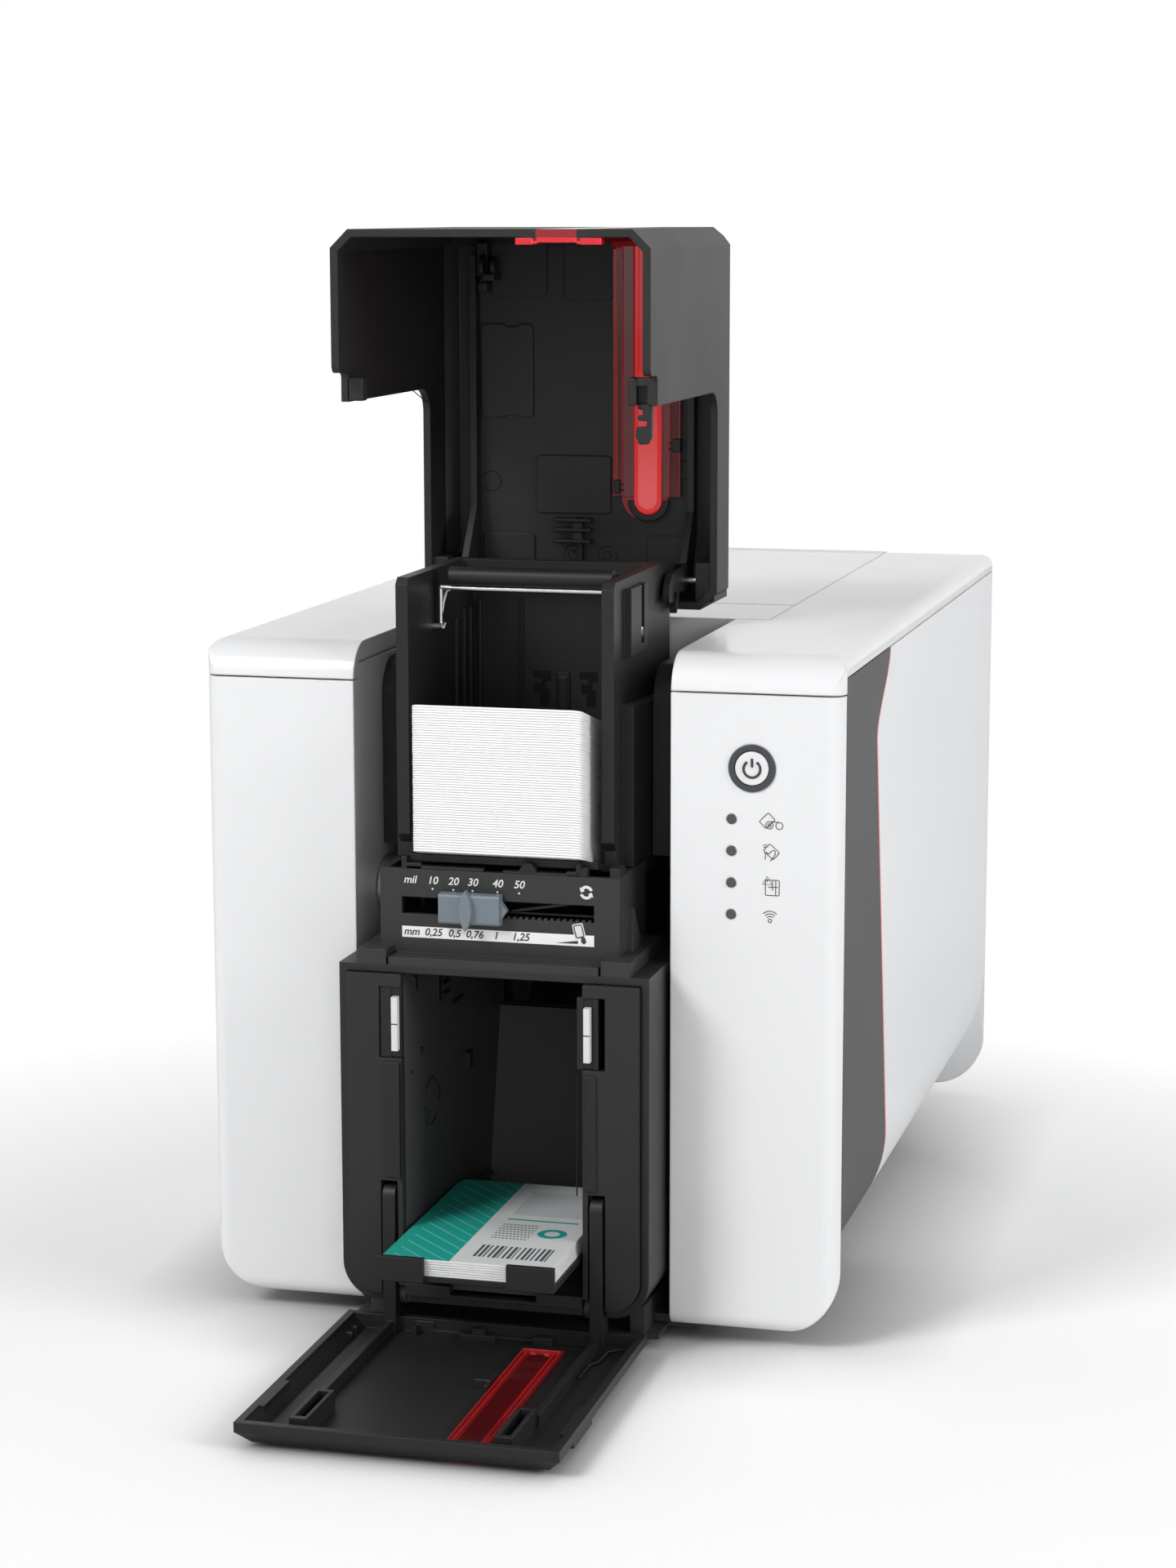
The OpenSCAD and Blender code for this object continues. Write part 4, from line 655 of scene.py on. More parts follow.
def number(text, x, z, size, material):
    """A number of the scale, upright on the gauge's front, with its middle at x and z."""
    words = bpy.data.curves.new("scale_" + text.replace(",", "_"), "FONT")
    words.body = text
    words.size = size * MM
    words.shear = NUMBER_SHEAR
    words.offset = NUMBER_BOLD * MM
    words.extrude = NUMBER_HALF_THICK * MM
    words.resolution_u = 3
    words.align_x, words.align_y = "CENTER", "CENTER"
    piece = bpy.data.objects.new(words.name, words)
    piece.matrix_world = (Matrix.Translation(at(x, GAUGE_Y - 0.04, z))
                          @ Matrix.Rotation(math.pi / 2, 4, "X"))
    bpy.context.scene.collection.objects.link(piece)
    words.materials.append(material)
    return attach(piece, "case")


for text, x in UPPER_SCALE:
    number(text, x, UPPER_Z, 3.4, ink_white)
for text, x in LOWER_SCALE:
    number(text, x, LOWER_Z, 3.3, ink_dark)
dots = [dot((x, DOT_Z), 0.32) for _, x in UPPER_SCALE[1:]]
plaque("scale_dots", PRINT_Y, dots, PRINT_THICK, ink_white, "case")
wedge = [(16.2, 129.6), (23.2, 129.6), (23.2, 130.6)]
plaque("scale_wedge", PRINT_Y, [wedge], PRINT_THICK, ink_dark, "case")
print("scale marks:", len(UPPER_SCALE) + len(LOWER_SCALE))

# %% [markdown]
# ## Button symbol and pictograms
# The power symbol is a broken ring with a bar, and beside each light stands a small picture: a card with
# the ribbon, a card being wiped, a pile of cards with a warning sign, and radio waves. They are line
# drawings in the print colour, so thin wires sunk halfway into the panel are the simplest way to have them.

# %% Symbols
BUTTON_X, BUTTON_Z, BUTTON_FACE_Y = 74.4, 184.0, -0.32
broken_ring = arc((BUTTON_X, BUTTON_Z - 0.2), 2.6, 125, 415, 24)
bar = [(BUTTON_X, BUTTON_Z + 0.4), (BUTTON_X, BUTTON_Z + 3.0)]
front_wires("power_symbol", BUTTON_FACE_Y, (broken_ring, bar), 0.42, ink_dark, "button", closed=False)

PICTURE_X = 80.5
PICTURE_Z = (168.45, 158.55, 148.65, 138.75)
PICTURE_Y = -0.02
PICTURE_LINE = 0.13


def pictures(name, strokes, closed):
    """Line drawings: strokes are (number of the light, points in millimetres from the picture's middle)."""
    paths = [shifted(points, (PICTURE_X, PICTURE_Z[light])) for light, points in strokes]
    return front_wires(name, PICTURE_Y, paths, PICTURE_LINE, ink_dark, "case", closed)


small_card = rounded(-2.0, -1.5, 2.0, 1.5, 0.4, 3)
wiped_card = rounded(-1.9, -1.5, 2.2, 1.5, 0.4, 3)
outlines = [(0, shifted(turned(small_card, 45), (-1.3, -0.4))),
            (0, ring((-0.6, -1.8), 1.15, 18)), (0, dot((-0.6, -1.8), 0.5)), (0, ring((2.5, -1.9), 1.1, 18)),
            (1, turned(wiped_card, -42)),
            (2, [(-2.6, -0.4), (0.3, -0.4), (-1.1, 2.1)]), (2, rounded(-1.7, -3.8, 2.6, 1.0, 0.4, 3)),
            (3, dot((-0.2, -1.8), 0.55))]
hand_outline = [(-1.9, -2.6), (-1.7, -1.4), (-1.9, -0.4), (-1.3, -0.3), (-0.9, -1.0), (-0.2, -0.2),
                (0.6, 0.4), (1.2, 0.2), (1.3, -0.8), (0.6, -2.0), (-0.2, -3.0)]
strokes = [(0, [(-0.6, -0.65), (2.5, -0.8)]),
           (1, hand_outline), (1, [(-2.4, 1.9), (-1.2, 1.9)]), (1, [(-2.4, 1.3), (-1.6, 1.3)]),
           (2, [(-1.1, 1.2), (-1.1, 0.4)]), (2, [(0.5, 1.0), (0.5, -2.2)]),
           (2, [(1.5, 1.0), (1.5, -3.6)]), (2, [(-0.9, -1.2), (2.2, -1.2)])]
strokes += [(3, arc((-0.2, -1.8), r, 45, 135, 10)) for r in (1.35, 2.15, 3.0)]
pictures("light_pictures", outlines, closed=True)
pictures("light_picture_strokes", strokes, closed=False)
print("lines in the pictures:", len(outlines) + len(strokes))

# %% [markdown]
# ## Inside the lid
# The open lid shows the inside of a moulding: shallow raised pads with round corners, ejector marks and a
# comb that holds a spring. A texture could fake them from one side only, so they are thin shapes with
# softened edges, set against the inner wall.

# %% Lid wall
LID_WALL_Y = 91.62
MARK_Y = LID_WALL_Y - 0.05
DIAL_X, DIAL_Z = (-6.2, 5.7), 238.2


def notched(u0, v0, u1, v1, r, cuts, depth):
    """A round-cornered pad whose top and bottom edges dip by depth between the places in cuts."""
    a, b = cuts
    plain = rounded(u0, v0, u1, v1, r, 4)
    top = [(b + depth, v1), (b, v1 - depth), (a, v1 - depth), (a - depth, v1)]
    low = [(a - depth, v0), (a, v0 + depth), (b, v0 + depth), (b + depth, v0)]
    return plain[:5] + top + plain[5:15] + low + plain[15:]


pads = [notched(-37.5, 283.4, -19.5, 314.4, 1.6, (-28.6, -25.1), 0.9),
        rounded(-33.9, 323.0, -14.8, 343.0, 1.8, 4), rounded(-8.9, 322.3, 7.9, 343.0, 1.8, 4),
        rounded(-18.6, 251.9, 7.0, 271.3, 1.6, 4), rounded(-37.0, 226.0, -19.3, 245.3, 1.6, 4),
        rounded(19.2, 226.0, 33.0, 245.2, 1.6, 4)]
plaque("lid_pads", LID_WALL_Y, pads, 0.9, charcoal, "lid", edge=0.3)
marks = [ring((-34.2, 262.3), 3.3), ring((31.0, 267.0), 3.2)]
front_wires("ejector_marks", MARK_Y, marks, 0.2, charcoal, "lid")
dials = [ring((x, DIAL_Z), r, 18) for x in DIAL_X for r in (3.1, 1.5)]
hands = [[(x, DIAL_Z), (x + 1.1, DIAL_Z + 1.8)] for x in DIAL_X]
front_wires("mould_dials", MARK_Y, dials, 0.17, charcoal, "lid")
front_wires("mould_dial_hands", MARK_Y, hands, 0.17, charcoal, "lid", closed=False)
comb = [((-12.0, 87.6, z), (0.8, LID_WALL_Y, z + 1.3)) for z in (249.4, 246.1, 242.4)]
comb += [((-5.6, 88.2, 242.4), (-2.2, LID_WALL_Y, 250.7)), ((-3.2, 88.4, 236.6), (-2.4, LID_WALL_Y, 242.8))]
blocks("spring_comb", comb, charcoal, "lid", edge=0.25)
print("lid pads:", len(pads), "marks:", len(marks) + len(dials))

# %% [markdown]
# The side walls of the lid carry two faint creases, and at the rim stand the latch, with a tab on either
# side and a hook that hangs from the right one, and a small damper that slows the lid.

# %% Lid rim
CREASE_X = -49.9
creases = [[(CREASE_X, 90.0, 283.0), (CREASE_X, 20.0, 305.0), (CREASE_X, -19.0, 311.0)],
           [(CREASE_X, 90.0, 258.0), (CREASE_X, 72.0, 262.0)]]
wires("lid_wall_creases", creases, 0.16, charcoal, "lid", closed=False)
tabs = [((-49.9, -12.0, 294.3), (-44.6, -7.6, 301.5)), ((38.4, -12.6, 294.0), (41.0, -6.0, 302.2)),
        ((38.4, -12.0, 299.6), (45.8, -6.0, 302.2)), ((44.2, -12.2, 294.0), (46.0, -6.0, 302.2)),
        ((40.8, -9.0, 293.2), (44.4, -6.0, 300.4))]
blocks("lid_latch_tabs", tabs, charcoal, "lid", edge=0.45)
hook = [(41.0, 294.4), (41.0, 292.9), (42.6, 292.6), (42.6, 291.3), (40.9, 291.0), (41.2, 289.5),
        (43.9, 289.3), (43.7, 287.8), (40.7, 287.6), (40.3, 284.9), (41.5, 282.3), (44.3, 282.5),
        (45.3, 284.6), (45.5, 294.4)]
plaque("lid_latch_hook", -10.6, [hook], -2.2, charcoal, "lid", edge=0.25)
mount = [((-36.6, 84.0, 325.0), (-33.2, 90.0, 328.0)), ((-37.6, 86.0, 330.0), (-33.6, 91.4, 341.0)),
         ((-34.4, 82.0, 328.6), (-30.2, 91.4, 331.0))]
blocks("lid_damper_mount", mount, charcoal, "lid", edge=0.5)
DAMPER_AT = (84.6, 333.4)
damper = [facing_side(x, ring(DAMPER_AT, r, 20)) for x, r in ((-35.5, 3.6), (-31.6, 3.2))]
slab("lid_damper", damper, (1.6, 0, 0), black_plastic, "lid", edge=0.3)
print("latch pieces:", len(tabs) + 1)

# %% [markdown]
# ## The red light guide
# Seen from inside, the guide is a clear red channel: a raised bright middle with a round end, thin side
# walls, two clips, and a T-shaped section where it runs out through the lid's rim. A dark half ring in the
# lid frames its round end. The brightness is a painted glow, and the middle is painted paler towards its
# round end, where the lamp would sit, as the painted glow of that lamp.

# %% Light guide in the lid
GUIDE_X, GUIDE_Y = 20.0, 90.0
LID_TOP_Z = 343.0
GLOW_FROM_Z, GLOW_OVER = 262.0, 40.0
RIM_FRONT_Y, RIM_BACK_Y = -20.9, -17.5


def painted_glow_from_below(name, red, painted_glow_coral):
    """Red above, coral at the low end, and the same on the painted glow that it gives off, brightest where
    the lamp would sit.
    """
    f = Finish(name)
    cloud = f.noise(16)
    # end is the lamp's painted glow: 1 at the guide's low end, fading to 0 over GLOW_OVER millimetres upward.
    end = (1.0 - (f.place("Z") - GLOW_FROM_Z) / GLOW_OVER).clamped()
    return f.shine(Base_Color=f.blend(end, red, painted_glow_coral), Roughness=cloud.ranging(0.08, 0.13),
                   Coat_Weight=0.4, Emission_Color=f.blend(end, red, painted_glow_coral), Emission_Strength=0.34)


red_rim = painted_glow_from_below("red_rim", (0.62, 0.012, 0.014), (0.72, 0.02, 0.022))
red_core = painted_glow_from_below("red_core", (0.62, 0.015, 0.018), (0.86, 0.105, 0.11))


def tongue(half, low):
    """Outline of a strip with a round lower end, as wide as twice half, that ends at the height low."""
    top = LID_TOP_Z + 0.2
    return [(GUIDE_X + half, top), (GUIDE_X - half, top)] + arc((GUIDE_X, low + half), half, 180, 360, 18)


def strips(spans, front, back, low):
    """Upright strips between pairs of x, from the height low to the lid's top."""
    return [((x0, GUIDE_Y + front, low), (x1, GUIDE_Y + back, LID_TOP_Z)) for x0, x1 in spans]


plaque("guide_rim", GUIDE_Y, [tongue(4.7, 252.2)], 1.1, red_rim, "lid", edge=0.5)
plaque("guide_core", GUIDE_Y - 0.9, [tongue(3.2, 254.0)], 0.5, red_core, "lid", edge=0.35)
flanges = strips(((9.3, 13.6), (25.9, 30.8)), -0.5, 0.3, 258.2)
blocks("guide_flanges", flanges, deep_red_and_painted_shade, "lid", edge=0.2)
walls = strips(((11.6, 15.3), (24.9, 27.3)), -1.0, -0.2, 258.0)
blocks("guide_walls", walls, red_smoke, "lid", edge=0.25)
# Each guide line is a wire of glowing red along a wall or flange edge, a painted glow on that edge.
lines = [[(x, GUIDE_Y - out, 258.4), (x, GUIDE_Y - out, LID_TOP_Z)]
         for x, out in ((11.5, 1.0), (24.8, 1.1), (27.4, 1.0), (30.7, 0.5), (9.4, 0.5))]
wires("guide_lines", lines, 0.16, red_line, "lid", closed=False)
ROUND_END = (GUIDE_X, 256.9)
half_ring = arc(ROUND_END, 7.0, 180, 360, 20) + arc(ROUND_END, 4.75, 360, 180, 20)
plaque("guide_frame", GUIDE_Y + 0.4, [half_ring], 1.1, charcoal, "lid", edge=0.35)
clips = []
for x0, x1, low, top, finger_x0, finger_x1, fingers in (
        (28.4, 31.2, 273.0, 277.4, 27.0, 28.8, (273.6, 275.6)),
        (8.6, 10.6, 259.0, 263.6, 10.2, 12.0, (260.0, 261.8))):
    clips.append(((x0, 88.2, low), (x1, 91.4, top)))
    clips += [((finger_x0, 88.6, z), (finger_x1, 90.2, z + 0.6)) for z in fingers]
blocks("guide_clips", clips, charcoal, "lid", edge=0.3)
section = ((12.7, 342.0, 25.0, 343.9), (6.2, 341.4, 11.6, 343.5), (26.0, 341.4, 32.6, 343.5),
           (11.2, 341.6, 13.0, 342.6), (24.8, 341.6, 26.4, 342.6))
rim = [((x0, RIM_FRONT_Y, z0), (x1, RIM_BACK_Y, z1)) for x0, z0, x1, z1 in section]
blocks("guide_rim_section", rim, red_clear, "lid", edge=0.35)
print("guide pieces:", len(flanges) + len(walls) + len(lines) + len(clips) + len(rim))

# %% [markdown]
# The guide in the hopper door has the same middle in a darker red, painted shade because it lies in shade,
# with two thin lips on each side, one at each end, and a pair of dimples near the hinge.

# %% Light guide in the door
DOOR_GUIDE_X = 16.6
GUIDE_FRONT_Y, GUIDE_BACK_Y = -117.8, -33.4
LIP_LOW_Z, LIP_TOP_Z = 4.9, 5.6
LIP_HALF = 5.95
core = rounded(DOOR_GUIDE_X - 3.3, -117.5, DOOR_GUIDE_X + 3.3, -37.0, 2.2, 5)
# The middle's darker red is painted shade, a shaded copy of the lid guide's middle, and it has a painted
# glow.
slab("door_guide_middle", [lying(LIP_LOW_Z, core)], (0, 0, 0.35), deep_red_and_painted_shade, "door", edge=0.12)
door_lips = []
for side in (-1, 1):
    for inset in (0, 1.5):
        x = DOOR_GUIDE_X + side * (LIP_HALF - inset)
        door_lips.append(((x - 0.18, GUIDE_FRONT_Y, LIP_LOW_Z), (x + 0.18, GUIDE_BACK_Y, LIP_TOP_Z)))
for y in (-118.3, -33.5):
    door_lips.append(((DOOR_GUIDE_X - 6.1, y, LIP_LOW_Z), (DOOR_GUIDE_X + 6.1, y + 0.4, LIP_TOP_Z)))
blocks("door_guide_lips", door_lips, red_line, "door", edge=0.12)
dimples = [dot((DOOR_GUIDE_X + side * 2.2, -35.6), 0.9) for side in (-1, 1)]
wires("door_guide_dimples", [lying(LIP_LOW_Z + 0.05, d) for d in dimples], 0.22, red_line, "door")
print("lips on the door's guide:", len(door_lips))

# %% [markdown]
# ## Feeder
# The feeder's back wall has guide ribs, two stepped cut-outs and a spring tab, and its left wall has three
# more ribs. The cut-outs are drawn as slabs in near-black painted shade that reads as depth.

# %% Feeder details
painted_hole_shade = moulded("painted_hole_shade", (0.0025, 0.0025, 0.0025), 0.8, grain=0.0, edge=0.05, **dull)
BACK_Y = 65.3
SIDE_X = -32.9
back_ribs = ((-31.6, -30.0, 1.4, 186, 226), (-17.9, -17.2, 0.6, 186, 227), (-16.6, -15.9, 0.6, 186, 227),
             (-4.9, -0.3, 0.8, 188, 202.4))
ribs = [((x0, BACK_Y - out, low), (x1, BACK_Y + 0.1, top)) for x0, x1, out, low, top in back_ribs]
side_ribs = ((42.0, 43.6, 1.3, 192, 222), (50.0, 52.0, 1.5, 190, 224), (57.0, 58.4, 1.7, 188, 224))
ribs += [((SIDE_X, y0, low), (SIDE_X + out, y1, top)) for y0, y1, out, low, top in side_ribs]
spring_tab = ((-4.1, BACK_Y - 1.1, 189), (-1.1, BACK_Y, 200.8))
blocks("feeder_ribs", ribs + [spring_tab], black_plastic, "case", edge=0.25)

hole = [(0, 202.6), (6.2, 202.6), (6.2, 199.2), (4.4, 199.2), (4.4, 196.6), (5.6, 196.6), (5.6, 191),
        (2.4, 191), (2.4, 195.2), (0.6, 195.2), (0.6, 198.4), (3.0, 198.4), (3.0, 200.2), (0, 200.2)]
holes = [shifted(hole, (x, 0)) for x in (-12.9, 2.9)]
# The cut-outs are near-black slabs of painted shade where the holes are.
plaque("feeder_cut_outs", BACK_Y - 0.02, holes, 0.06, painted_hole_shade, "case")
print("feeder ribs:", len(ribs))

# %% [markdown]
# ## Gauge
# Low lips and hooks hold the gauge box to the feeder. In its slot run two rails and the slanted lever that
# the slider pushes. To the right of the scale are printed a pair of turning arrows and a small card.

# %% Gauge details
LIP_FRONT_Y = -13.9
lip_spots = ((-33.4, 150.3, -31.6, -10.5, 154.3), (-32.0, 151.2, -27.0, -11.5, 152.4),
             (-27.2, 150.3, -6.9, -11.0, 151.6), (-0.8, 150.3, 19.8, -11.0, 151.3),
             (19.4, 150.6, 24.4, -11.5, 152.0), (22.4, 151.2, 24.0, -10.5, 154.3),
             (24.0, 150.3, 26.2, -10.5, 153.4), (33.2, 150.3, 36.2, -6.0, 153.6))
lips = [((x0, LIP_FRONT_Y, z0), (x1, y1, z1)) for x0, z0, x1, y1, z1 in lip_spots]
blocks("gauge_lips", lips, black_plastic, "case", edge=0.3)
tooth = [(4.0, 150.9), (10.4, 150.9), (8.6, 153.9), (6.0, 154.1)]
plaque("gauge_tooth", LIP_FRONT_Y, [tooth], -2.6, black_plastic, "case", edge=0.25)
rails = [((-2.0, -9.2, 136.9), (27.6, -8.4, 137.6)), ((-2.0, -4.0, 140.2), (27.6, -3.2, 141.2))]
blocks("gauge_rails", rails, gauge_black, "case", edge=0.15)
lever = [(0.5, 137.2), (21.5, 140.8), (21.5, 141.8), (0.5, 138.2)]
plaque("gauge_lever", -9.4, [lever], -1.0, gauge_black, "case", edge=0.15)

ARROWS_AT = (25.9, 145.8)
ARROW_SWEEP, ARROW_TIP = 125, 163
arrows = []
for start in (20, 200):
    end = start + ARROW_SWEEP
    head = [polar(ARROWS_AT, 2.7, end), polar(ARROWS_AT, 1.7, start + ARROW_TIP), polar(ARROWS_AT, 0.75, end)]
    outer = arc(ARROWS_AT, 2.15, start, end, 10)
    inner = arc(ARROWS_AT, 1.25, end, start, 10)
    arrows.append(outer + head + inner[1:])
plaque("gauge_arrows", PRINT_Y, arrows, PRINT_THICK, ink_white, "case")
SIGN_AT, SIGN_TURN = (23.5, 133.6), 14
plate = shifted(turned(rounded(-1.75, -2.4, 1.75, 2.4, 0.6, 3), SIGN_TURN), SIGN_AT)
plaque("gauge_card_plate", PRINT_Y, [plate], PRINT_THICK, ink_white, "case")
card_sign = shifted(turned(rounded(-1.25, -1.9, 1.25, 1.9, 0.4, 3), SIGN_TURN), SIGN_AT)
front_wires("gauge_card_sign", GAUGE_Y - 0.06, [card_sign], 0.18, ink_dark, "case")
pointer = [(24.2, 131.9), (25.4, 131.7), (25.9, 130.2), (25.1, 129.5), (24.2, 130.2)]
plaque("gauge_card_arrow", GAUGE_Y - 0.05, [pointer], PRINT_THICK, ink_dark, "case")
print("gauge lips:", len(lips))

# %% [markdown]
# ## Press bar
# The wire that carries the press bar ends in a hook on the left, and on the right its pivot has a round
# head outside the feeder's wall.

# %% Press bar details
PIVOT_Y, PIVOT_Z = 21.0, 222.0
hook_line = [(-26.9, 233.9), (-28.6, 233.2), (-29.6, 229.4), (-30.6, 223.4), (-30.2, 221.6),
             (-29.5, 221.4), (-29.1, 223.2)]
front_wires("bail_hook", PIVOT_Y, [hook_line], 0.42, steel, "press_bail", closed=False)
pin_head = facing_side(34.2, ring((PIVOT_Y, PIVOT_Z), 1.8, 20))
slab("bail_pin_head", [pin_head], (0.8, 0, 0), steel, "press_bail", edge=0.3)
print("hook points:", len(hook_line))

# %% [markdown]
# ## Hopper
# Inside the hopper are small marks that only light from the side brings out, so each stands 0.4 mm or more
# off its wall. Dark holders frame the two magnets, and guides run down beside the mouth.

# %% Hopper details
FACE_Y, MOUTH_L = -23.5, -31.0
PEG_SUNK = 0.3
MAGNET_LOW, MAGNET_TOP, HOLDER_BACK_Y = 92.4, 114.9, -20.6
round_mark = facing_side(MOUTH_L, ring((7.0, 71.0), 7.6))
wires("hopper_round_mark", [round_mark], 0.28, black_plastic, "case")
peg_spots = ((13.4, 69.0, 15.4, 74.2, 0.5), (0.0, 66.4, 1.2, 70.2, 0.5), (-4.6, 88.6, -2.4, 91.2, 0.6),
             (-13.8, 85.0, -12.6, 86.2, 0.5), (13.6, 101.8, 16.4, 110.6, 0.9),
             (19.0, 102.4, 26.2, 103.6, 0.9), (19.0, 105.8, 26.2, 107.0, 0.9),
             (29.0, 97.0, 41.8, 98.2, 0.7), (44.6, 71.6, 49.4, 77.6, 1.6),
             (-10.2, 110.8, -7.6, 115.4, 0.7))
pegs = [((MOUTH_L - PEG_SUNK, y0, z0), (MOUTH_L + out, y1, z1)) for y0, z0, y1, z1, out in peg_spots]
blocks("hopper_pegs", pegs, black_plastic, "case", edge=0.2)
holder_spots = ((-38.0, -34.3, 0.5), (-31.4, -31.0, 0.5), (30.2, 31.9, 0.5), (25.1, 27.3, 0.5),
                (-34.4, -31.2, 0.9), (27.1, 30.3, 0.9))
holders = [((x0, FACE_Y + deep, MAGNET_LOW), (x1, HOLDER_BACK_Y, MAGNET_TOP))
           for x0, x1, deep in holder_spots]
blocks("magnet_holders", holders, black_plastic, "case", edge=0.2)
# Each groove is a thin block of dark ink, painted shade where a groove would be cut.
grooves = [((x, FACE_Y - 1.53, 103.3), (x + 2.0, FACE_Y - 1.3, 103.7)) for x in (-33.7, 27.7)]
blocks("magnet_grooves", grooves, ink_dark, "case", edge=0.03)
guide_spots = ((-36.6, -31.6, 0.7, 54.0, 91.2), (27.6, 31.5, 0.7, 54.0, 90.6),
               (-31.5, -31.0, 0.3, 52.4, 91.0), (25.0, 25.5, 0.3, 52.4, 91.0))
guides = [((x0, FACE_Y - out, low), (x1, FACE_Y + 0.3, top)) for x0, x1, out, low, top in guide_spots]
blocks("mouth_guides", guides, black_plastic, "case", edge=0.3)
print("hopper pegs:", len(pegs))

# %% [markdown]
# ## Door
# The door has clips along its rear rim and its left edge, little catches beside the light guide, and a
# ridge beside the right edge.

# %% Door details
DOOR_INSIDE_Z = 3.7
clip_spots = ((-27.4, -22.6, -21.4, -21.6, 7.8), (-27.4, -26.0, -26.4, -21.8, 6.6),
              (-21.6, -22.6, -12.2, -21.9, 5.2), (-12.4, -26.0, -1.0, -21.6, 5.8),
              (-1.2, -23.0, 13.0, -22.0, 5.0), (11.4, -25.4, 17.4, -21.6, 6.4),
              (4.6, -66.4, 9.6, -64.8, 6.6), (8.6, -70.0, 9.7, -58.0, 6.2),
              (-48.6, -34.6, -44.4, -33.2, 6.2), (-47.2, -34.4, -46.0, -27.6, 5.6),
              (-48.6, -28.8, -44.8, -27.4, 6.2), (-48.6, -84.0, -46.8, -70.0, 6.0),
              (-48.8, -58.0, -46.4, -56.6, 6.2))
door_clips = [((x0, y0, DOOR_INSIDE_Z), (x1, y1, top)) for x0, y0, x1, y1, top in clip_spots]
clip_on_clip = ((-8.4, -25.0, 5.6), (-4.6, -21.6, 7.4))
blocks("door_clips", door_clips + [clip_on_clip], black_plastic, "door", edge=0.25)
ridge = [(33.0, -52.0, 4.2), (33.4, -40.0, 4.4), (35.4, -38.2, 4.6), (36.2, -28.0, 4.8), (41.0, -25.4, 5.0)]
wires("door_ridge", [ridge], 0.45, black_plastic, "door", closed=False)
print("door clips:", len(door_clips) + 1)

# %% [markdown]
# ## Rear
# The rear isn't in the photograph, so it has only what every such machine has: a cross recess in each
# screw, three blades in the mains inlet and contacts in the data ports.

# %% Rear details
SCREW_X, SCREW_Z = (-52.0, 52.0), (24.0, 96.0)
CROSS_LONG, CROSS_THIN = 1.6, 0.25
CROSS_Y0, CROSS_Y1 = 327.3, 327.58
# Each cross recess is two near-black blocks on the screw head, painted shade in place of a cut.
crosses = [((x - wide, CROSS_Y0, z - tall), (x + wide, CROSS_Y1, z + tall))
           for x in SCREW_X for z in SCREW_Z
           for wide, tall in ((CROSS_LONG, CROSS_THIN), (CROSS_THIN, CROSS_LONG))]
blocks("screw_recesses", crosses, painted_hole_shade, "case", edge=0.04)
blades = [((x, 306.5, z), (x + 1.0, 319.0, z + 4.0)) for x, z in ((66.6, 45.4), (76.4, 45.4), (71.5, 42.4))]
blocks("inlet_blades", blades, steel, "case", edge=0.15)
contacts = [((24.6 + 1.3 * i, 312.0, 50.6), (25.1 + 1.3 * i, 322.0, 51.0)) for i in range(8)]
contacts += [((7.4, 312.0, 45.2), (12.6, 321.0, 46.6))]
blocks("port_contacts", contacts, sheet_steel, "case", edge=0.06)
print("screw recesses:", len(crosses) // 2)

# %% [markdown]
# ## Floor
# A product photograph has no horizon: the table runs into a white backdrop. We could bend a large sheet up
# behind the printer, but a flat floor that fades to pure white away from the printer does the same and
# keeps the shadow. Right under the case, where little of the sky is open, an Ambient Occlusion node makes
# the table darker.

# %% Floor
FLOOR_HALF = 9.0
FADE_MIDDLE_Y = 60.0
FADE_FROM, FADE_OVER = 190.0, 180.0
FLOOR_LIFT = 0.14
CONTACT_REACH = 0.05
CONTACT_SHADE = (0.3, 0.3, 0.3)
BLACK, WHITE = (0, 0, 0), (1, 1, 1)


def floor_white():
    f = Finish("floor_white")
    grain = f.noise(0.6)
    distance = (f.place("X") ** 2.0 + (f.place("Y") - FADE_MIDDLE_Y) ** 2.0) ** 0.5
    fade = ((distance - FADE_FROM) / FADE_OVER).clamped() * f.ray("Camera")
    open_sky = f.signal("ShaderNodeAmbientOcclusion", {"samples": 8}, {"Distance": CONTACT_REACH}, "AO")
    lift = f.ray("Camera") * open_sky * open_sky * FLOOR_LIFT
    pale = f.blend(grain, (0.93, 0.93, 0.93), (0.95, 0.95, 0.95))
    table = f.node("ShaderNodeBsdfPrincipled", None, {
        "Base Color": f.blend(open_sky, CONTACT_SHADE, pale), "Roughness": 0.6,
        "Specular IOR Level": 0.2, "Emission Color": f.blend(lift, BLACK, WHITE), "Emission Strength": 1.0})
    white = f.node("ShaderNodeEmission", None, {"Color": (*WHITE, 1), "Strength": 1.0})
    mixed = f.node("ShaderNodeMixShader", None, {0: fade, 1: table.outputs[0], 2: white.outputs[0]})
    f.node("ShaderNodeOutputMaterial", None, {"Surface": mixed.outputs[0]})
    return f.material


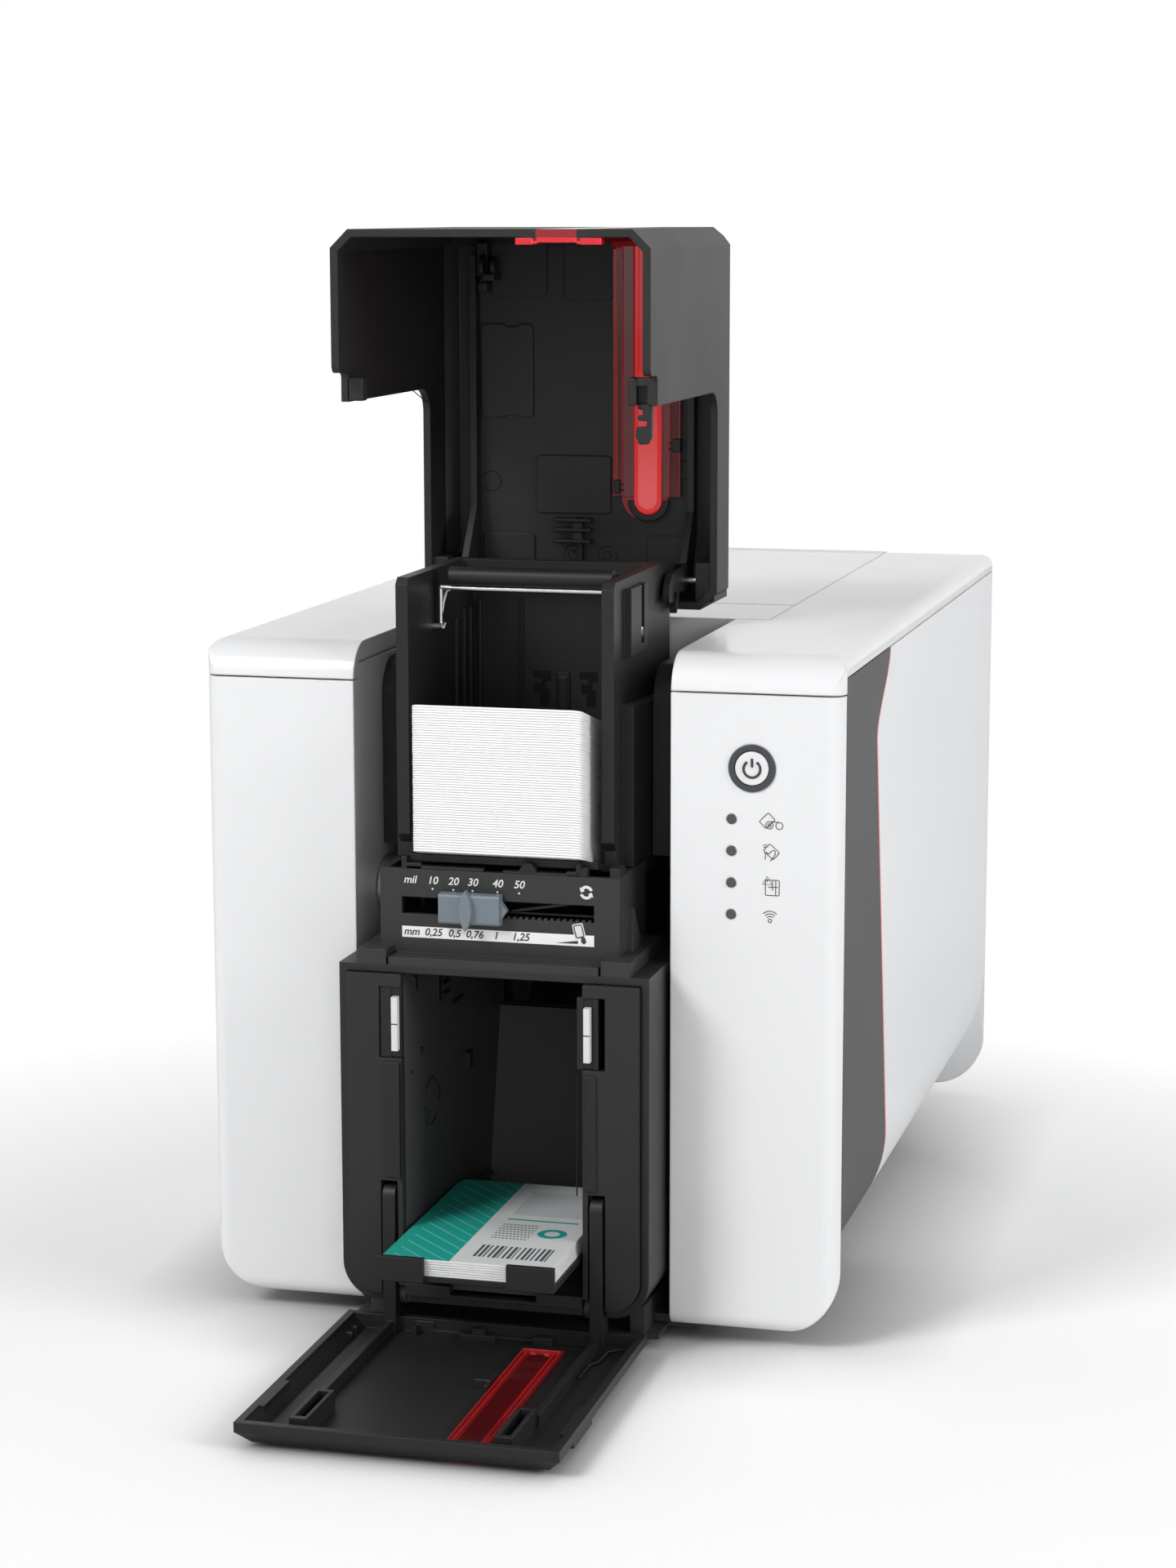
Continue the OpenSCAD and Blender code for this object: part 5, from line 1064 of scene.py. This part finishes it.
floor_mesh = bpy.data.meshes.new("floor")
corners = [(FLOOR_HALF * x, FLOOR_HALF * y, 0) for x, y in ((-1, -1), (1, -1), (1, 1), (-1, 1))]
floor_mesh.from_pydata(corners, [], [(0, 1, 2, 3)])
floor = bpy.data.objects.new("floor", floor_mesh)
bpy.context.scene.collection.objects.link(floor)
floor.location.z = cad_bounds[0][2]
floor_mesh.materials.append(floor_white())
print("floor at z =", round(floor.location.z, 4))

# %% [markdown]
# ## World
# The world is white, but only for the rays that the camera, a gloss or a clear piece sends out. For the
# light that falls on the printer the world is dimmer, so white plastic keeps its shading.

# %% World
WORLD_LIGHT = 0.24
world = bpy.context.scene.world or bpy.data.worlds.new("studio")
bpy.context.scene.world = world
f = Finish("studio", world)
seen = f.ray("Camera").higher(f.ray("Glossy")).higher(f.ray("Transmission"))
sky = f.node("ShaderNodeBackground", None, {"Color": (0.97, 0.985, 1.0, 1), "Strength": WORLD_LIGHT})
backdrop = f.node("ShaderNodeBackground", None, {"Color": (*WHITE, 1), "Strength": 1.0})
chosen = f.node("ShaderNodeMixShader", None, {0: seen, 1: sky.outputs[0], 2: backdrop.outputs[0]})
f.node("ShaderNodeOutputWorld", None, {"Surface": chosen.outputs[0]})
print("world light", WORLD_LIGHT)

# %% [markdown]
# ## Lamps
# Four soft boxes light the printer: a key high on the left, which makes the left panel the brightest part,
# a fill from the right for the long side wall, a weak low one from the front that reaches into the hopper,
# and one from the right behind so that the back isn't dull. Small lamps would draw hard shadows, which the
# photograph doesn't have, so each one is nearly a metre wide. Places and sizes are in metres, and the
# power is in watts.

# %% Lamps
AIM = Vector(at(0, 60, 130))


def softbox(name, place, size, power):
    """A square lamp with sides as long as size that looks at the printer."""
    data = bpy.data.lights.new(name, "AREA")
    data.shape = "RECTANGLE"
    data.size = data.size_y = size
    data.energy = power
    lamp = bpy.data.objects.new(name, data)
    lamp.location = place
    lamp.rotation_euler = (AIM - Vector(place)).to_track_quat("-Z", "Y").to_euler()
    bpy.context.scene.collection.objects.link(lamp)


softbox("key_left", (-1.2, -1.65, 1.8), 0.9, 38)
softbox("fill_right", (1.9, -0.5, 0.95), 0.9, 19)
softbox("fill_front", (0.75, -2.1, 0.5), 0.8, 6)
softbox("rear_fill", (1.5, 1.9, 0.6), 1.0, 6)
print("lamps:", len(bpy.data.lights))
